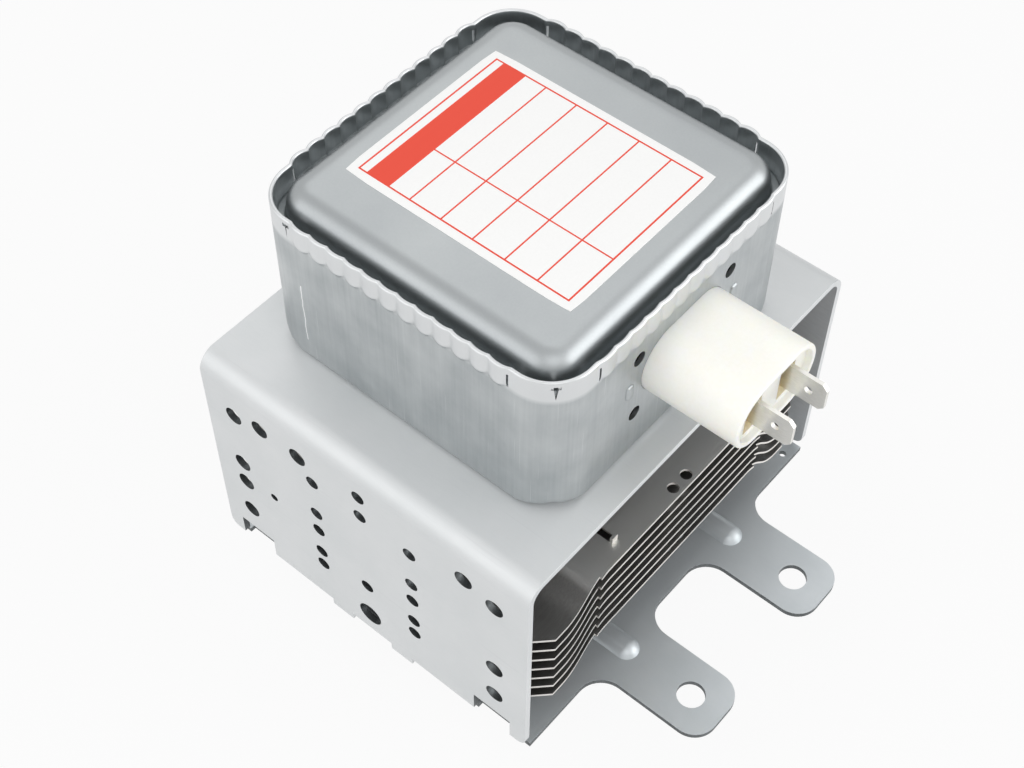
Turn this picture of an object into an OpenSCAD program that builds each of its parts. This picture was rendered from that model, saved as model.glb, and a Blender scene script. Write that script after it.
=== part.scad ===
// Magnetron of a household microwave oven, with the vacuum tube inside it.
// Millimetres. The origin is the centre of the mounting plate's underside,
// +Z points to the filter box and -Y to the terminals.

/* [Yoke] */
// Width across the outside of the two walls
yoke_w = 95; // [92:0.5:110]
// Depth of the yoke along the air flow
yoke_d = 79.6; // [78:0.2:100]
// Height of the yoke's top face above the mounting face
yoke_h = 57; // [55:0.1:70]
// Sheet thickness of the yoke
yoke_t = 1.4; // [1:0.1:2]
// Outer bend radius between the top and the walls
yoke_bend_r = 4.2; // [2.5:0.1:6]
// Height of the walls' lower edge above the mounting face
wall_low = 2; // [1.4:0.1:3]
// Distance of each lower notch from the middle of its wall
notch_y = 27; // [24:0.5:29]
// Width of each lower notch
notch_w = 9; // [5:0.5:9.5]
// Height of the notches above the mounting face
notch_h = 7.2; // [5:0.1:8]
// Radius of the walls' rounded lower corners
foot_r = 2.2; // [0.5:0.1:3]
// Width of each staking foot that holds the plate
stake_w = 5.6; // [4:0.1:7]
// Distance of each staking foot from the middle of its wall
stake_y = 8; // [7:0.5:10]
// Gap between the staking feet and the mounting face
stake_gap = 0.2; // [0:0.1:0.6]

/* [Wall holes] */
// Diameter of the screw holes
screw_d = 4; // [3:0.1:4.5]
// Diameter of the locating holes
locate_d = 3; // [2:0.1:3.5]
// Diameter of the large foot hole
foot_hole_d = 5.6; // [4:0.1:6]
// Distance of the outer screw columns from the middle
screw_col = 32.2; // [31:0.1:34]
// Distance of the second screw columns from the middle
screw_col_2 = 25.1; // [23:0.1:26]
// Distance of the locating columns from the middle
locate_col = 12.1; // [10:0.1:14]
// Heights of the outer screw holes
screw_z = [13.9, 23.6, 45.2];
// Height of the second screw columns' holes
screw_z_2 = 47.1; // [46:0.1:48]
// Heights of the locating holes in the columns
locate_z = [14, 18.5, 26, 31.7, 42];
// Heights of the locating holes in the middle
locate_mid_z = [18.2, 42.6, 48.6];
// Height of the large foot hole
foot_hole_z = 7.7; // [6:0.1:9]
// Places of the single screw holes in the left wall, along it and up
lone_screws = [[32.2, 30], [15.3, 47.2]];
// Place of the pin hole in the left wall, along it and up
lone_pin = [24.2, 25.6];
// Diameter of the pin hole
lone_pin_d = 1.8; // [1:0.1:2.5]

/* [Mounting plate] */
// Thickness of the plate
plate_t = 1.2; // [0.8:0.1:2]
// Depth of the plate without its ears
plate_d = 80; // [78:0.2:100]
// How far the plate's edge is cut back beside the wall notches
plate_relief = 1.2; // [0.5:0.1:2]
// Spacing of the ear holes along a plate edge
ear_pitch = 35.2; // [33:0.1:40]
// Spacing of the ear holes across the plate
ear_span = 114.8; // [112:0.2:125]
// Width of each ear
ear_w = 15.2; // [13:0.1:16]
// How far each ear reaches past its hole
ear_over = 7.6; // [6:0.1:9]
// Corner radius of the ear's end
ear_end_r = 5; // [3:0.1:6]
// Diameter of the ear holes
ear_hole_d = 5.8; // [4:0.1:6.5]
// Fillet radius at the roots of the ears
ear_root_r = 5.5; // [4:0.5:8]
// Width of the stiffening bead on each ear
bead_w = 5.4; // [4:0.1:6]
// Height of the stiffening bead above the plate
bead_h = 1.6; // [1:0.1:2]
// Length of the stiffening bead
bead_len = 16; // [10:0.5:18]
// How far the bead runs past the plate's edge onto its ear
bead_over = 4; // [2:0.5:6]
// Diameter of the pilot hole
pilot_d = 1.5; // [1:0.1:2.5]
// Distance of the pilot hole from the plate's side edge
pilot_x_in = 4; // [4:0.5:10]
// Distance of the pilot hole from the plate's front edge
pilot_y_in = 2; // [2:0.1:4]

/* [Filter box] */
// Width of the drawn box
box_w = 68.8; // [64:0.2:76]
// Depth of the drawn box
box_d = 68.6; // [64:0.2:76]
// Height of the box from the yoke to its rim
box_h = 36; // [32:0.1:45]
// Wall thickness of the box
box_t = 0.8; // [0.5:0.1:1.2]
// Corner radius of the box
box_r = 8.8; // [7.5:0.1:12]
// Height of the crimped rim
rim_h = 6; // [4:0.1:7]
// How far the rim steps out at the plain corners
rim_step = 0.4; // [0.3:0.05:0.8]
// Pitch of the crimps along the rim
crimp_pitch = 3.95; // [3.6:0.01:4]
// Number of crimps on each side
crimp_count = 12; // [8:1:12]
// How far each crimp bulges out of the box wall
crimp_out = 0.95; // [0.8:0.05:1.2]
// Radius of each crimp's bulge
crimp_r = 3.7; // [3.2:0.05:4.5]
// Diameter of the four holes round the capacitor
side_hole_d = 3; // [2:0.1:3.5]
// Spacing of those holes along the box
side_hole_w = 25.7; // [24:0.1:30]
// Spacing of those holes up the box
side_hole_h = 14.8; // [13:0.2:20]
// Distance of the holes' lower row above the yoke
side_hole_z = 11.5; // [10:0.1:13]
// Width of each clinch lug beside the capacitor
lug_w = 1.6; // [1:0.1:2]
// Height of each clinch lug
lug_h = 3.4; // [2:0.1:4]
// How far each clinch lug stands out
lug_out = 0.9; // [0.5:0.1:1.2]
// Distance of each clinch lug from the middle
lug_x = 15.6; // [14:0.1:18]

/* [Lid and label] */
// Sheet thickness of the lid
lid_t = 0.8; // [0.5:0.1:1]
// Gap between the lid's flange and the rim
lid_clear = 0.1; // [0.05:0.05:0.15]
// Width of the groove between the rim and the raised middle
lid_groove = 2.2; // [1.5:0.1:4]
// Height of the raised middle above the rim
lid_rise = 1.3; // [0:0.1:2]
// Radius of the raised middle's top edge
lid_edge_r = 4; // [2:0.1:4.5]
// Length of the label along the terminals' direction
label_d = 50; // [30:0.2:54]
// Width of the label
label_w = 40.2; // [30:0.2:50]
// Thickness of the label
label_t = 0.12; // [0.08:0.02:0.2]

/* [Capacitor] */
// Width of the oval housing
cap_w = 23.2; // [22:0.2:24]
// Height of the oval housing
cap_h = 14; // [11:0.2:14.4]
// How far the housing stands out of the box
cap_out = 19.6; // [15:0.2:25]
// Height of the housing's middle above the yoke
cap_z = 19.9; // [18:0.1:21]
// Wall thickness of the housing's open end
cap_wall = 1.1; // [0.8:0.1:1.4]
// Depth of the recess in the housing's end
cap_recess = 1.4; // [0.8:0.1:2]
// Depth of the pocket round each terminal below the recess
cap_pocket = 5; // [3:0.5:8]
// Width of the pocket round each terminal
cap_pocket_w = 4.4; // [3:0.1:5]
// Clearance of the housing in the box wall
cap_clear = 0.1; // [0.05:0.05:0.3]
// Width of the earth flange inside the box
flange_w = 34; // [32:0.2:38]
// Height of the earth flange inside the box
flange_h = 21.6; // [21:0.2:26]
// Thickness of the earth flange
flange_t = 1; // [0.6:0.1:1.5]
// Depth of the ceramic core behind the flange
core_len = 8; // [5:0.5:10]

/* [Terminals] */
// Width of each tab terminal
tab_w = 6.35; // [4.8:0.05:6.4]
// Thickness of each tab terminal
tab_t = 0.8; // [0.5:0.1:1]
// Spacing between the two tabs
tab_pitch = 9.8; // [9:0.1:11]
// How far each tab stands out of the housing
tab_out = 6.6; // [5:0.1:10]
// Chamfer at the corners of each tab
tab_chamfer = 1; // [0.5:0.1:1.5]
// Diameter of the latching hole in each tab
tab_hole_d = 1.6; // [1:0.1:2]
// Distance of the latching hole from the tab's tip
tab_hole_in = 3.4; // [2.5:0.1:4]
// Clearance of the tabs in the capacitor
tab_clear = 0.05; // [0.05:0.05:0.2]

/* [Chokes] */
// Wire diameter of the choke coils
wire_d = 1.3; // [0.8:0.1:1.6]
// Outer diameter of the choke coils
choke_d = 8; // [7:0.1:10]
// Number of turns in each choke coil
choke_turns = 15; // [10:1:15]
// Spacing between the two coils' axes
choke_pitch = 38; // [34:0.5:42]
// Gap between each ferrite rod and its coil
rod_gap = 0.2; // [0.1:0.05:0.4]
// How far each ferrite rod stands out of its coil
rod_over = 2; // [0:0.5:4]

/* [Fins] */
// Number of cooling fins
fin_count = 7; // [7:1:7]
// Sheet thickness of the fins
fin_t = 0.6; // [0.4:0.1:0.8]
// Pitch of the fins
fin_pitch = 3.45; // [3:0.05:3.6]
// Height of the lowest fin above the anode's lower end
fin_first = 1.9; // [0.2:0.1:2]
// How far the wings lie below the middle of a fin
fin_drop = 7; // [5:0.1:8]
// Width of the fins' flat middle
fin_mid_w = 52; // [46:0.5:52]
// Run of each sloped part of a fin
fin_slope_w = 7; // [5:0.1:9]
// Depth of the fins' flat middle along the air flow
fin_mid_d = 79.4; // [74:0.2:100]
// How far the wings' edges stand back from the middle's
fin_step = 0.6; // [0.2:0.1:2]
// Chamfer at the corners of the wings
fin_chamfer = 7.6; // [6:0.1:9]
// Gap between the wings and the yoke's walls
fin_wall_gap = 0.1; // [0.05:0.05:0.4]
// Height of the fins' collars round the anode
collar_h = 2; // [1:0.1:2.4]
// Gap between the collars and the anode
collar_gap = 0.05; // [0.05:0.01:0.1]
// Diameter of the two tooling holes in each fin
fin_hole_d = 2.4; // [1.5:0.1:3]
// Spacing of the two tooling holes
fin_hole_pitch = 4.1; // [3.6:0.1:6]
// Distance of the tooling holes from the fin's front edge
fin_hole_in = 1.9; // [1.8:0.1:3]
// Width of the lanced slot in each fin
fin_slot_w = 1.6; // [1:0.1:2.5]
// Length of the lanced slot
fin_slot_len = 7; // [4:0.5:9]
// Distance of the lanced slot from the fin's front edge
fin_slot_in = 3.6; // [3:0.1:6]
// Distance of the lanced slot from the fin's middle
fin_slot_x = 18.5; // [17:0.1:20]
// Height of the lance's upturned lug
fin_lug_h = 1.4; // [0.8:0.1:2]

/* [Magnets] */
// Outer diameter of the ring magnets
magnet_d = 52; // [46:0.5:54]
// Bore of the ring magnets
magnet_bore = 24; // [23:0.2:26]
// Thickness of the ring magnets
magnet_t = 11.4; // [9:0.1:12]

/* [Tube] */
// Outer diameter of the anode cylinder
anode_d = 40; // [38:0.2:42]
// Wall thickness of the anode cylinder
anode_t = 2.5; // [1.5:0.1:3]
// Number of anode vanes
vane_count = 10; // [8:2:12]
// Thickness of the vanes
vane_t = 1.8; // [1.2:0.1:2]
// Height of the vanes
vane_h = 9.4; // [8:0.1:10]
// Radius of the opening between the vanes' tips
vane_tip_r = 5; // [4.8:0.1:5.5]
// Gap between the vanes and the anode cylinder
vane_gap = 0.05; // [0.02:0.01:0.1]
// Width and height of the strap rings
strap_t = 0.8; // [0.5:0.1:1]
// Mean radius of the inner strap rings
strap_r = 6.6; // [6.2:0.1:7]
// Radial spacing of the strap rings
strap_pitch = 1.4; // [1.2:0.1:1.6]
// Sheet thickness of the pole pieces
pole_t = 1.2; // [1:0.1:1.6]
// Gap between the flange of each pole piece and the anode's outside
pole_in = 0.5; // [0:0.1:1]
// Radius of the pole pieces' central hole
pole_hole_r = 5; // [4.8:0.1:5.5]
// Gap between the pole pieces' tips and the vanes
pole_gap = 2.4; // [2:0.1:3]
// Outer diameter of the thin seal sleeves
sleeve_d = 20; // [19:0.1:21]
// Wall thickness of the seal sleeves
sleeve_t = 0.6; // [0.4:0.1:0.8]
// Height of the seal sleeves' flanges
sleeve_flange_t = 0.8; // [0.5:0.1:1]
// Gap between the sleeves' flanges and the magnets' bores
sleeve_gap = 0.2; // [0.1:0.05:0.4]

/* [Cathode] */
// Diameter of the cathode leads
lead_d = 1.2; // [0.8:0.1:1.4]
// Spacing of the two leads
lead_pitch = 6; // [5:0.1:6.4]
// Clearance of the leads in the ceramic stem
lead_clear = 0.05; // [0.03:0.01:0.1]
// How far the upper sleeve reaches above the yoke
stem_base = 4.3; // [3:0.1:6]
// Height of the ceramic stem
stem_h = 10; // [7:0.1:10.5]
// Height of the connection tags on the leads
tag_h = 6; // [4:0.1:7]
// Width of the connection tags
tag_w = 3; // [2:0.1:4]
// Radius of the cathode's end hats
hat_r = 4.2; // [4:0.1:4.5]
// Thickness of the end hats
hat_t = 1.2; // [0.8:0.1:1.5]
// Mean radius of the filament coil
filament_r = 2; // [1.6:0.1:2.2]
// Wire diameter of the filament coil
filament_d = 0.6; // [0.5:0.05:0.7]
// Number of turns in the filament coil
filament_turns = 18; // [12:1:18]

/* [Antenna] */
// How far the lower sleeve reaches below the mounting face
base_out = 6; // [5:0.1:9]
// Outer diameter of the antenna's ceramic tube
antenna_ceramic_d = 16; // [15.6:0.1:17]
// Wall thickness of the antenna's ceramic tube
antenna_ceramic_t = 2.5; // [2:0.1:3]
// Length of the antenna's ceramic tube
antenna_ceramic_h = 8; // [6:0.1:12]
// Outer diameter of the antenna cap
antenna_cap_d = 15.2; // [14.6:0.1:15.4]
// Length of the antenna cap
antenna_cap_h = 12; // [11:0.1:16]
// Sheet thickness of the antenna cap
antenna_cap_t = 0.8; // [0.5:0.1:1]
// Radius of the antenna cap's lower edge
antenna_cap_edge_r = 1.6; // [1.2:0.1:2.5]
// Outer diameter of the pinched exhaust tube
exhaust_d = 7.6; // [6:0.1:8]
// Wall thickness of the exhaust tube
exhaust_t = 0.8; // [0.6:0.1:1]
// Length of the exhaust tube's pinched end
pinch_h = 3; // [2:0.1:3.5]
// Gap between the pinched end and the cap
pinch_gap = 1; // [0.5:0.1:1.5]
// Diameter of the antenna lead
antenna_lead_d = 2.4; // [1.6:0.1:3]
// Clearance of the antenna lead in the lower pole piece
antenna_clear = 0.8; // [0.5:0.1:1]
// Distance of the antenna lead from the axis at its vane
antenna_lead_x = 11.5; // [11:0.1:13]
// Outer diameter of the braided gasket
gasket_d = 30; // [27:0.5:34]
// Height of the braided gasket
gasket_h = 4; // [3:0.1:5]
// Gap between the gasket and the lower sleeve
gasket_gap = 0.1; // [0.05:0.05:0.3]
// Width of the gasket's retaining ring
retainer_w = 2.4; // [1.5:0.1:3]
// Height of the gasket's retaining ring
retainer_h = 1.5; // [1:0.1:2.5]
// Depth of the round seat coined into the plate for the gasket and its ring
gasket_seat = 0.3; // [0.1:0.1:0.5]
// Gap between the seat's edge and the retaining ring
seat_gap = 0.1; // [0.05:0.05:0.3]

/* [Hidden] */
$fn = 64;
cut = 1;
wall_in = yoke_w / 2 - yoke_t;
stake_out = stake_y + stake_w / 2;
magnet_low_z = plate_t;
anode_z = plate_t + magnet_t + pole_t;
magnet_top_z = yoke_h - yoke_t - magnet_t;
anode_h = magnet_top_z - pole_t - anode_z;
anode_mid = anode_z + anode_h / 2;
anode_in_r = anode_d / 2 - anode_t;
vane_low = anode_mid - vane_h / 2;
vane_top = anode_mid + vane_h / 2;
passage_r = magnet_bore / 2;
sleeve_flange_r = passage_r - sleeve_gap;
cone_r = sleeve_d / 2 - sleeve_t / 2;
rim_top = yoke_h + box_h;
rim_low = rim_top - rim_h;
box_front = box_d / 2;
box_in_front = box_front - box_t;
lid_w = box_w + 2 * (rim_step - box_t - lid_clear);
lid_d = box_d + 2 * (rim_step - box_t - lid_clear);
lid_r = box_r + rim_step - box_t - lid_clear;
lid_top = rim_top + lid_rise;
cap_mid = yoke_h + cap_z;
cap_end = box_front + cap_out;
core_back = box_in_front - flange_t - core_len;
tab_tip = cap_end + tab_out;
choke_r = (choke_d - wire_d) / 2;
choke_step = wire_d * 0.95;
choke_len = (choke_turns - 1) * choke_step;
choke_inner_x = choke_pitch / 2 - choke_r;
tab_back = choke_len + wire_d;
fin_low_z = anode_z + fin_first;
fin_wing_w = wall_in - fin_wall_gap;
fin_mid_edge = fin_mid_d / 2;
fin_wing_edge = fin_mid_edge - fin_step;
hat_low = vane_low - hat_t / 2;
hat_top = vane_top + hat_t / 2;
stem_z = yoke_h + stem_base;
lead_link_z = stem_z - 2 * lead_d;
tag_z = cap_mid - tag_h / 2;
base_z = -base_out;
cap_top_z = base_z - antenna_ceramic_h;
cap_low_z = cap_top_z - antenna_cap_h;
pinch_z = cap_low_z + antenna_cap_t + pinch_gap;
antenna_bend_z = magnet_low_z + magnet_t / 2;
retainer_r = gasket_d / 2 + gasket_gap;
seat_r = retainer_r + retainer_w + seat_gap;
antenna_top = [antenna_lead_x, 0, vane_low];
antenna_knee = [0, 0, antenna_bend_z];
antenna_end = [0, 0, pinch_z + pinch_h];

steel = [0.78, 0.79, 0.79];
plate_grey = [0.62, 0.66, 0.68];
aluminium = [0.82, 0.84, 0.85];
copper = [0.72, 0.45, 0.3];
ferrite = [0.22, 0.22, 0.23];
ceramic = [0.93, 0.92, 0.89];
cream = [0.95, 0.95, 0.91];
tin = [0.85, 0.85, 0.83];
tungsten = [0.5, 0.5, 0.52];

// Rounded rectangle about the origin, from squares and circles
module rounded(w, d, r) {
    square([w - 2 * r, d], center = true);
    square([w, d - 2 * r], center = true);
    for (sx = [-1, 1], sy = [-1, 1]) {
        translate([sx * (w / 2 - r), sy * (d / 2 - r)]) circle(r);
    }
}

// Oval with round ends, long side along X
module oval(w, h) {
    square([w - h, h], center = true);
    for (s = [-1, 1]) {
        translate([s * (w - h) / 2, 0]) circle(h / 2);
    }
}

// Straight round bar between two points
module bar(a, b, d) {
    v = b - a;
    translate(a) rotate([0, acos(v[2] / norm(v)), atan2(v[1], v[0])]) cylinder(d = d, h = norm(v));
}

// Ring with a rectangular section
module ring(r_in, r_out, h) {
    difference() {
        cylinder(r = r_out, h = h);
        translate([0, 0, -cut]) cylinder(r = r_in, h = h + 2 * cut);
    }
}

// Stack of touching wire turns about the Z axis
module wire_stack(r, d, step, turns) {
    rotate_extrude() {
        for (i = [0 : turns - 1]) {
            translate([r, i * step]) circle(d = d, $fn = 24);
        }
    }
}

// Section of the bent yoke sheet, its outside grown inwards by the inset
module yoke_section(inset) {
    half = yoke_w / 2 - inset;
    top = yoke_h - inset;
    r = yoke_bend_r - inset;
    translate([-half, stake_gap]) square([2 * half, top - r - stake_gap]);
    translate([-half + r, stake_gap]) square([2 * (half - r), top - stake_gap]);
    for (s = [-1, 1]) {
        translate([s * (half - r), top - r]) circle(r);
    }
}

// Hole through the left wall only, and hole through both walls
module left_hole(y, z, d) {
    translate([-yoke_w / 2 - cut, y, z]) rotate([0, 90, 0]) cylinder(d = d, h = yoke_t + 2 * cut);
}

module wall_hole(y, z, d) {
    translate([-yoke_w / 2 - cut, y, z]) rotate([0, 90, 0]) cylinder(d = d, h = yoke_w + 2 * cut);
}

// Cutter that lifts both walls' lower edge over a length about the given place
module wall_relief(y, len) {
    translate([-yoke_w, y - len / 2, -cut]) cube([2 * yoke_w, len, wall_low + cut]);
}

// Cutter that rounds a wall's lower corner
module foot_corner(s) {
    edge = s * yoke_d / 2;
    difference() {
        translate([-yoke_w, edge - foot_r, wall_low - foot_r]) {
            cube([2 * yoke_w, 2 * foot_r, 2 * foot_r]);
        }
        translate([-2 * yoke_w, edge - s * foot_r, wall_low + foot_r]) {
            rotate([0, 90, 0]) cylinder(r = foot_r, h = 4 * yoke_w);
        }
        translate([-2 * yoke_w, edge - s * foot_r - (s > 0 ? foot_r : 0), wall_low - 2 * foot_r]) {
            cube([4 * yoke_w, foot_r, 4 * foot_r]);
        }
    }
}

module yoke() color(steel) {
    difference() {
        rotate([90, 0, 0]) linear_extrude(yoke_d, center = true) {
            difference() {
                yoke_section(0);
                yoke_section(yoke_t);
                translate([-wall_in, stake_gap - cut]) square([2 * wall_in, 2 * cut]);
            }
        }
        for (s = [-1, 1]) {
            translate([-yoke_w, s * (notch_y + notch_w / 2) - notch_w / 2, -cut]) {
                cube([2 * yoke_w, notch_w, notch_h + cut]);
            }
            wall_relief(s * (stake_out + yoke_d / 2 + cut) / 2, yoke_d / 2 + cut - stake_out);
            foot_corner(s);
            for (z = screw_z) {
                wall_hole(s * screw_col, z, screw_d);
            }
            wall_hole(s * screw_col_2, screw_z_2, screw_d);
            for (z = locate_z) {
                wall_hole(s * locate_col, z, locate_d);
            }
        }
        wall_relief(0, 2 * stake_y - stake_w);
        for (z = locate_mid_z) {
            wall_hole(0, z, locate_d);
        }
        wall_hole(0, foot_hole_z, foot_hole_d);
        for (p = lone_screws) {
            left_hole(p[0], p[1], screw_d);
        }
        left_hole(lone_pin[0], lone_pin[1], lone_pin_d);
        translate([0, 0, yoke_h - yoke_t - cut]) cylinder(r = passage_r, h = yoke_t + 2 * cut);
    }
}

// One ear at the front right, with its root fillets
module ear_outline() {
    ear_x = ear_pitch / 2;
    edge = plate_d / 2;
    end = ear_span / 2 + ear_over;
    flat = ear_w - 2 * ear_end_r;
    translate([ear_x - ear_w / 2, -end + ear_end_r]) square([ear_w, end - ear_end_r - edge + cut]);
    translate([ear_x - flat / 2, -end]) square([flat, 2 * ear_end_r]);
    for (s = [-1, 1]) {
        translate([ear_x + s * flat / 2, -end + ear_end_r]) circle(ear_end_r);
    }
    for (s = [-1, 1]) {
        difference() {
            translate([ear_x + s * (ear_w + ear_root_r) / 2, -edge - ear_root_r / 2 + cut / 2]) {
                square([ear_root_r, ear_root_r + cut], center = true);
            }
            translate([ear_x + s * (ear_w / 2 + ear_root_r), -edge - ear_root_r]) circle(ear_root_r);
        }
    }
}

// Raised bead with a domed end, running from the plate onto the front right ear
module bead() {
    r = (bead_w * bead_w / 4 + bead_h * bead_h) / (2 * bead_h);
    y_end = -plate_d / 2 - bead_over + bead_w / 2;
    intersection() {
        translate([ear_pitch / 2, y_end, plate_t + bead_h - r]) {
            sphere(r);
            rotate([-90, 0, 0]) cylinder(r = r, h = bead_len);
        }
        translate([0, -plate_d, plate_t / 2]) cube([yoke_w, 2 * plate_d, r]);
    }
}

module mounting_plate() color(plate_grey) {
    difference() {
        union() {
            linear_extrude(plate_t) {
                square([2 * wall_in, plate_d], center = true);
                for (mx = [0, 1], my = [0, 1]) {
                    mirror([mx, 0]) mirror([0, my]) ear_outline();
                }
            }
            for (mx = [0, 1], my = [0, 1]) {
                mirror([mx, 0, 0]) mirror([0, my, 0]) bead();
            }
        }
        translate([0, 0, -cut]) cylinder(r = passage_r, h = plate_t + 2 * cut);
        translate([0, 0, -cut]) cylinder(r = seat_r, h = gasket_seat + cut);
        for (sx = [-1, 1], sy = [-1, 1]) {
            translate([sx * ear_pitch / 2, sy * ear_span / 2, -cut]) {
                cylinder(d = ear_hole_d, h = plate_t + 2 * cut);
            }
            translate([sx * wall_in, sy * (notch_y + notch_w / 2), plate_t / 2]) {
                cube([2 * plate_relief, notch_w, 2 * plate_t], center = true);
            }
        }
        translate([wall_in - pilot_x_in, -plate_d / 2 + pilot_y_in, -cut]) {
            cylinder(d = pilot_d, h = plate_t + 2 * cut);
        }
    }
}

// Outline of the crimped rim, shrunk by the inset
module rim_outline(inset) {
    rounded(box_w + 2 * (rim_step - inset), box_d + 2 * (rim_step - inset), box_r + rim_step - inset);
    for (i = [0 : crimp_count - 1], s = [-1, 1]) {
        along = (i - (crimp_count - 1) / 2) * crimp_pitch;
        translate([s * (box_w / 2 + crimp_out - crimp_r), along]) circle(crimp_r - inset, $fn = 32);
        translate([along, s * (box_d / 2 + crimp_out - crimp_r)]) circle(crimp_r - inset, $fn = 32);
    }
}

// Places its children on the four holes round the capacitor, pointing out of the box
module at_side_holes() {
    for (s = [-1, 1], row = [0, 1]) {
        translate([s * side_hole_w / 2, 0, yoke_h + side_hole_z + row * side_hole_h]) {
            rotate([90, 0, 0]) children();
        }
    }
}

module filter_box() color(aluminium) {
    difference() {
        union() {
            translate([0, 0, yoke_h]) linear_extrude(rim_low - yoke_h) rounded(box_w, box_d, box_r);
            translate([0, 0, rim_low]) linear_extrude(rim_h) rim_outline(0);
        }
        translate([0, 0, yoke_h + box_t]) linear_extrude(box_h) {
            rounded(box_w - 2 * box_t, box_d - 2 * box_t, box_r - box_t);
        }
        translate([0, 0, rim_low]) linear_extrude(rim_h + cut) rim_outline(box_t);
        translate([0, 0, yoke_h - cut]) cylinder(r = passage_r, h = box_t + 2 * cut);
        at_side_holes() cylinder(d = side_hole_d, h = box_d);
        translate([0, 0, cap_mid]) rotate([90, 0, 0]) linear_extrude(box_d) {
            oval(cap_w + 2 * cap_clear, cap_h + 2 * cap_clear);
        }
    }
    for (s = [-1, 1]) {
        translate([s * lug_x - lug_w / 2, -box_front - lug_out, cap_mid - lug_h]) {
            cube([lug_w, lug_out, lug_h]);
        }
    }
}

// Upright block with a rounded top edge and round corners
module pillow(w, d, h, corner_r, edge_r) {
    hull() {
        for (sx = [-1, 1], sy = [-1, 1]) {
            translate([sx * (w / 2 - corner_r), sy * (d / 2 - corner_r), 0]) {
                cylinder(r = corner_r, h = h - edge_r, $fn = 32);
                translate([0, 0, h - edge_r]) rotate_extrude($fn = 32) {
                    intersection() {
                        translate([corner_r - edge_r, 0]) circle(edge_r, $fn = 32);
                        square(corner_r);
                    }
                }
                cylinder(r = corner_r - edge_r, h = h, $fn = 32);
            }
        }
    }
}

module filter_lid() color(aluminium) {
    w = lid_w - 2 * lid_groove;
    d = lid_d - 2 * lid_groove;
    r = lid_r - lid_groove;
    h = lid_top - rim_low;
    translate([0, 0, rim_low]) difference() {
        union() {
            linear_extrude(lid_t) rounded(lid_w, lid_d, lid_r);
            pillow(w, d, h, r, lid_edge_r);
        }
        translate([0, 0, -cut]) {
            pillow(w - 2 * lid_t, d - 2 * lid_t, h - lid_t + cut, r - lid_t, lid_edge_r - lid_t);
        }
    }
}

module rating_label() color("white") {
    translate([-label_w / 2, -label_d / 2, lid_top]) cube([label_w, label_d, label_t]);
}

// Tab terminal on the right side, its blade standing upright
module tab_blade(grow) {
    half = tab_w / 2 + grow;
    tip = tab_tip + grow;
    outline = [
        [-tab_back, -half], [tip * -1 + tab_chamfer, -half], [-tip, -half + tab_chamfer],
        [-tip, half - tab_chamfer], [tip * -1 + tab_chamfer, half], [-tab_back, half]
    ];
    translate([tab_pitch / 2 - tab_t / 2 - grow, 0, cap_mid]) rotate([90, 0, 90]) {
        linear_extrude(tab_t + 2 * grow) polygon(outline);
    }
}

module terminal() {
    difference() {
        tab_blade(0);
        translate([0, -tab_tip + tab_hole_in, cap_mid]) rotate([0, 90, 0]) {
            cylinder(d = tab_hole_d, h = tab_pitch);
        }
    }
}

module terminal_left() color(tin) {
    mirror([1, 0, 0]) terminal();
}

module terminal_right() color(tin) {
    terminal();
}

// Both tab blades with clearance, to cut what they pass through
module tab_slots() {
    for (m = [0, 1]) {
        mirror([m, 0, 0]) tab_blade(tab_clear);
    }
}

module capacitor_housing() color(cream) {
    difference() {
        translate([0, -box_in_front, cap_mid]) rotate([90, 0, 0]) {
            linear_extrude(cap_end - box_in_front) oval(cap_w, cap_h);
        }
        translate([0, -cap_end + cap_recess, cap_mid]) rotate([90, 0, 0]) {
            linear_extrude(cap_recess + cut) oval(cap_w - 2 * cap_wall, cap_h - 2 * cap_wall);
        }
        for (s = [-1, 1]) {
            translate([s * tab_pitch / 2, -cap_end + (cap_recess + cap_pocket) / 2, cap_mid]) {
                cube([cap_pocket_w, cap_recess + cap_pocket, cap_h - 4 * cap_wall], center = true);
            }
        }
        tab_slots();
    }
}

module capacitor_flange() color(steel) {
    difference() {
        translate([0, -box_in_front + flange_t, yoke_h + side_hole_z + side_hole_h / 2]) {
            rotate([90, 0, 0]) linear_extrude(flange_t) rounded(flange_w, flange_h, side_hole_d);
        }
        at_side_holes() cylinder(d = side_hole_d, h = box_d);
        translate([0, -box_in_front + flange_t + cut, cap_mid]) rotate([90, 0, 0]) {
            linear_extrude(flange_t + 2 * cut) oval(cap_w - 4 * cap_wall, cap_h - 4 * cap_wall);
        }
    }
}

module capacitor_core() color(ceramic) {
    difference() {
        translate([0, -core_back, cap_mid]) rotate([90, 0, 0]) {
            linear_extrude(core_len) oval(cap_w - 2 * cap_wall, cap_h - 2 * cap_wall);
        }
        tab_slots();
    }
}

// Coil on the right side with its two straight ends
module choke_coil() {
    x_in = choke_inner_x;
    translate([choke_pitch / 2, 0, cap_mid]) rotate([90, 0, 0]) {
        wire_stack(choke_r, wire_d, choke_step, choke_turns);
    }
    front = -choke_len - wire_d * 1.5;
    bar([x_in, -choke_len, cap_mid], [x_in, front, cap_mid], wire_d);
    translate([x_in, front, cap_mid]) sphere(d = wire_d);
    bar([x_in, front, cap_mid], [(tab_pitch + tab_t) / 2, front, cap_mid], wire_d);
    bar([x_in, 0, cap_mid], [(lead_pitch + lead_d) / 2, 0, cap_mid], wire_d);
}

module choke_coil_left() color(copper) {
    mirror([1, 0, 0]) choke_coil();
}

module choke_coil_right() color(copper) {
    choke_coil();
}

module ferrite_rod() {
    translate([choke_pitch / 2, rod_over, cap_mid]) rotate([90, 0, 0]) {
        cylinder(r = choke_r - wire_d / 2 - rod_gap, h = choke_len + 2 * rod_over);
    }
}

module ferrite_rod_left() color(ferrite) {
    mirror([1, 0, 0]) ferrite_rod();
}

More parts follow.
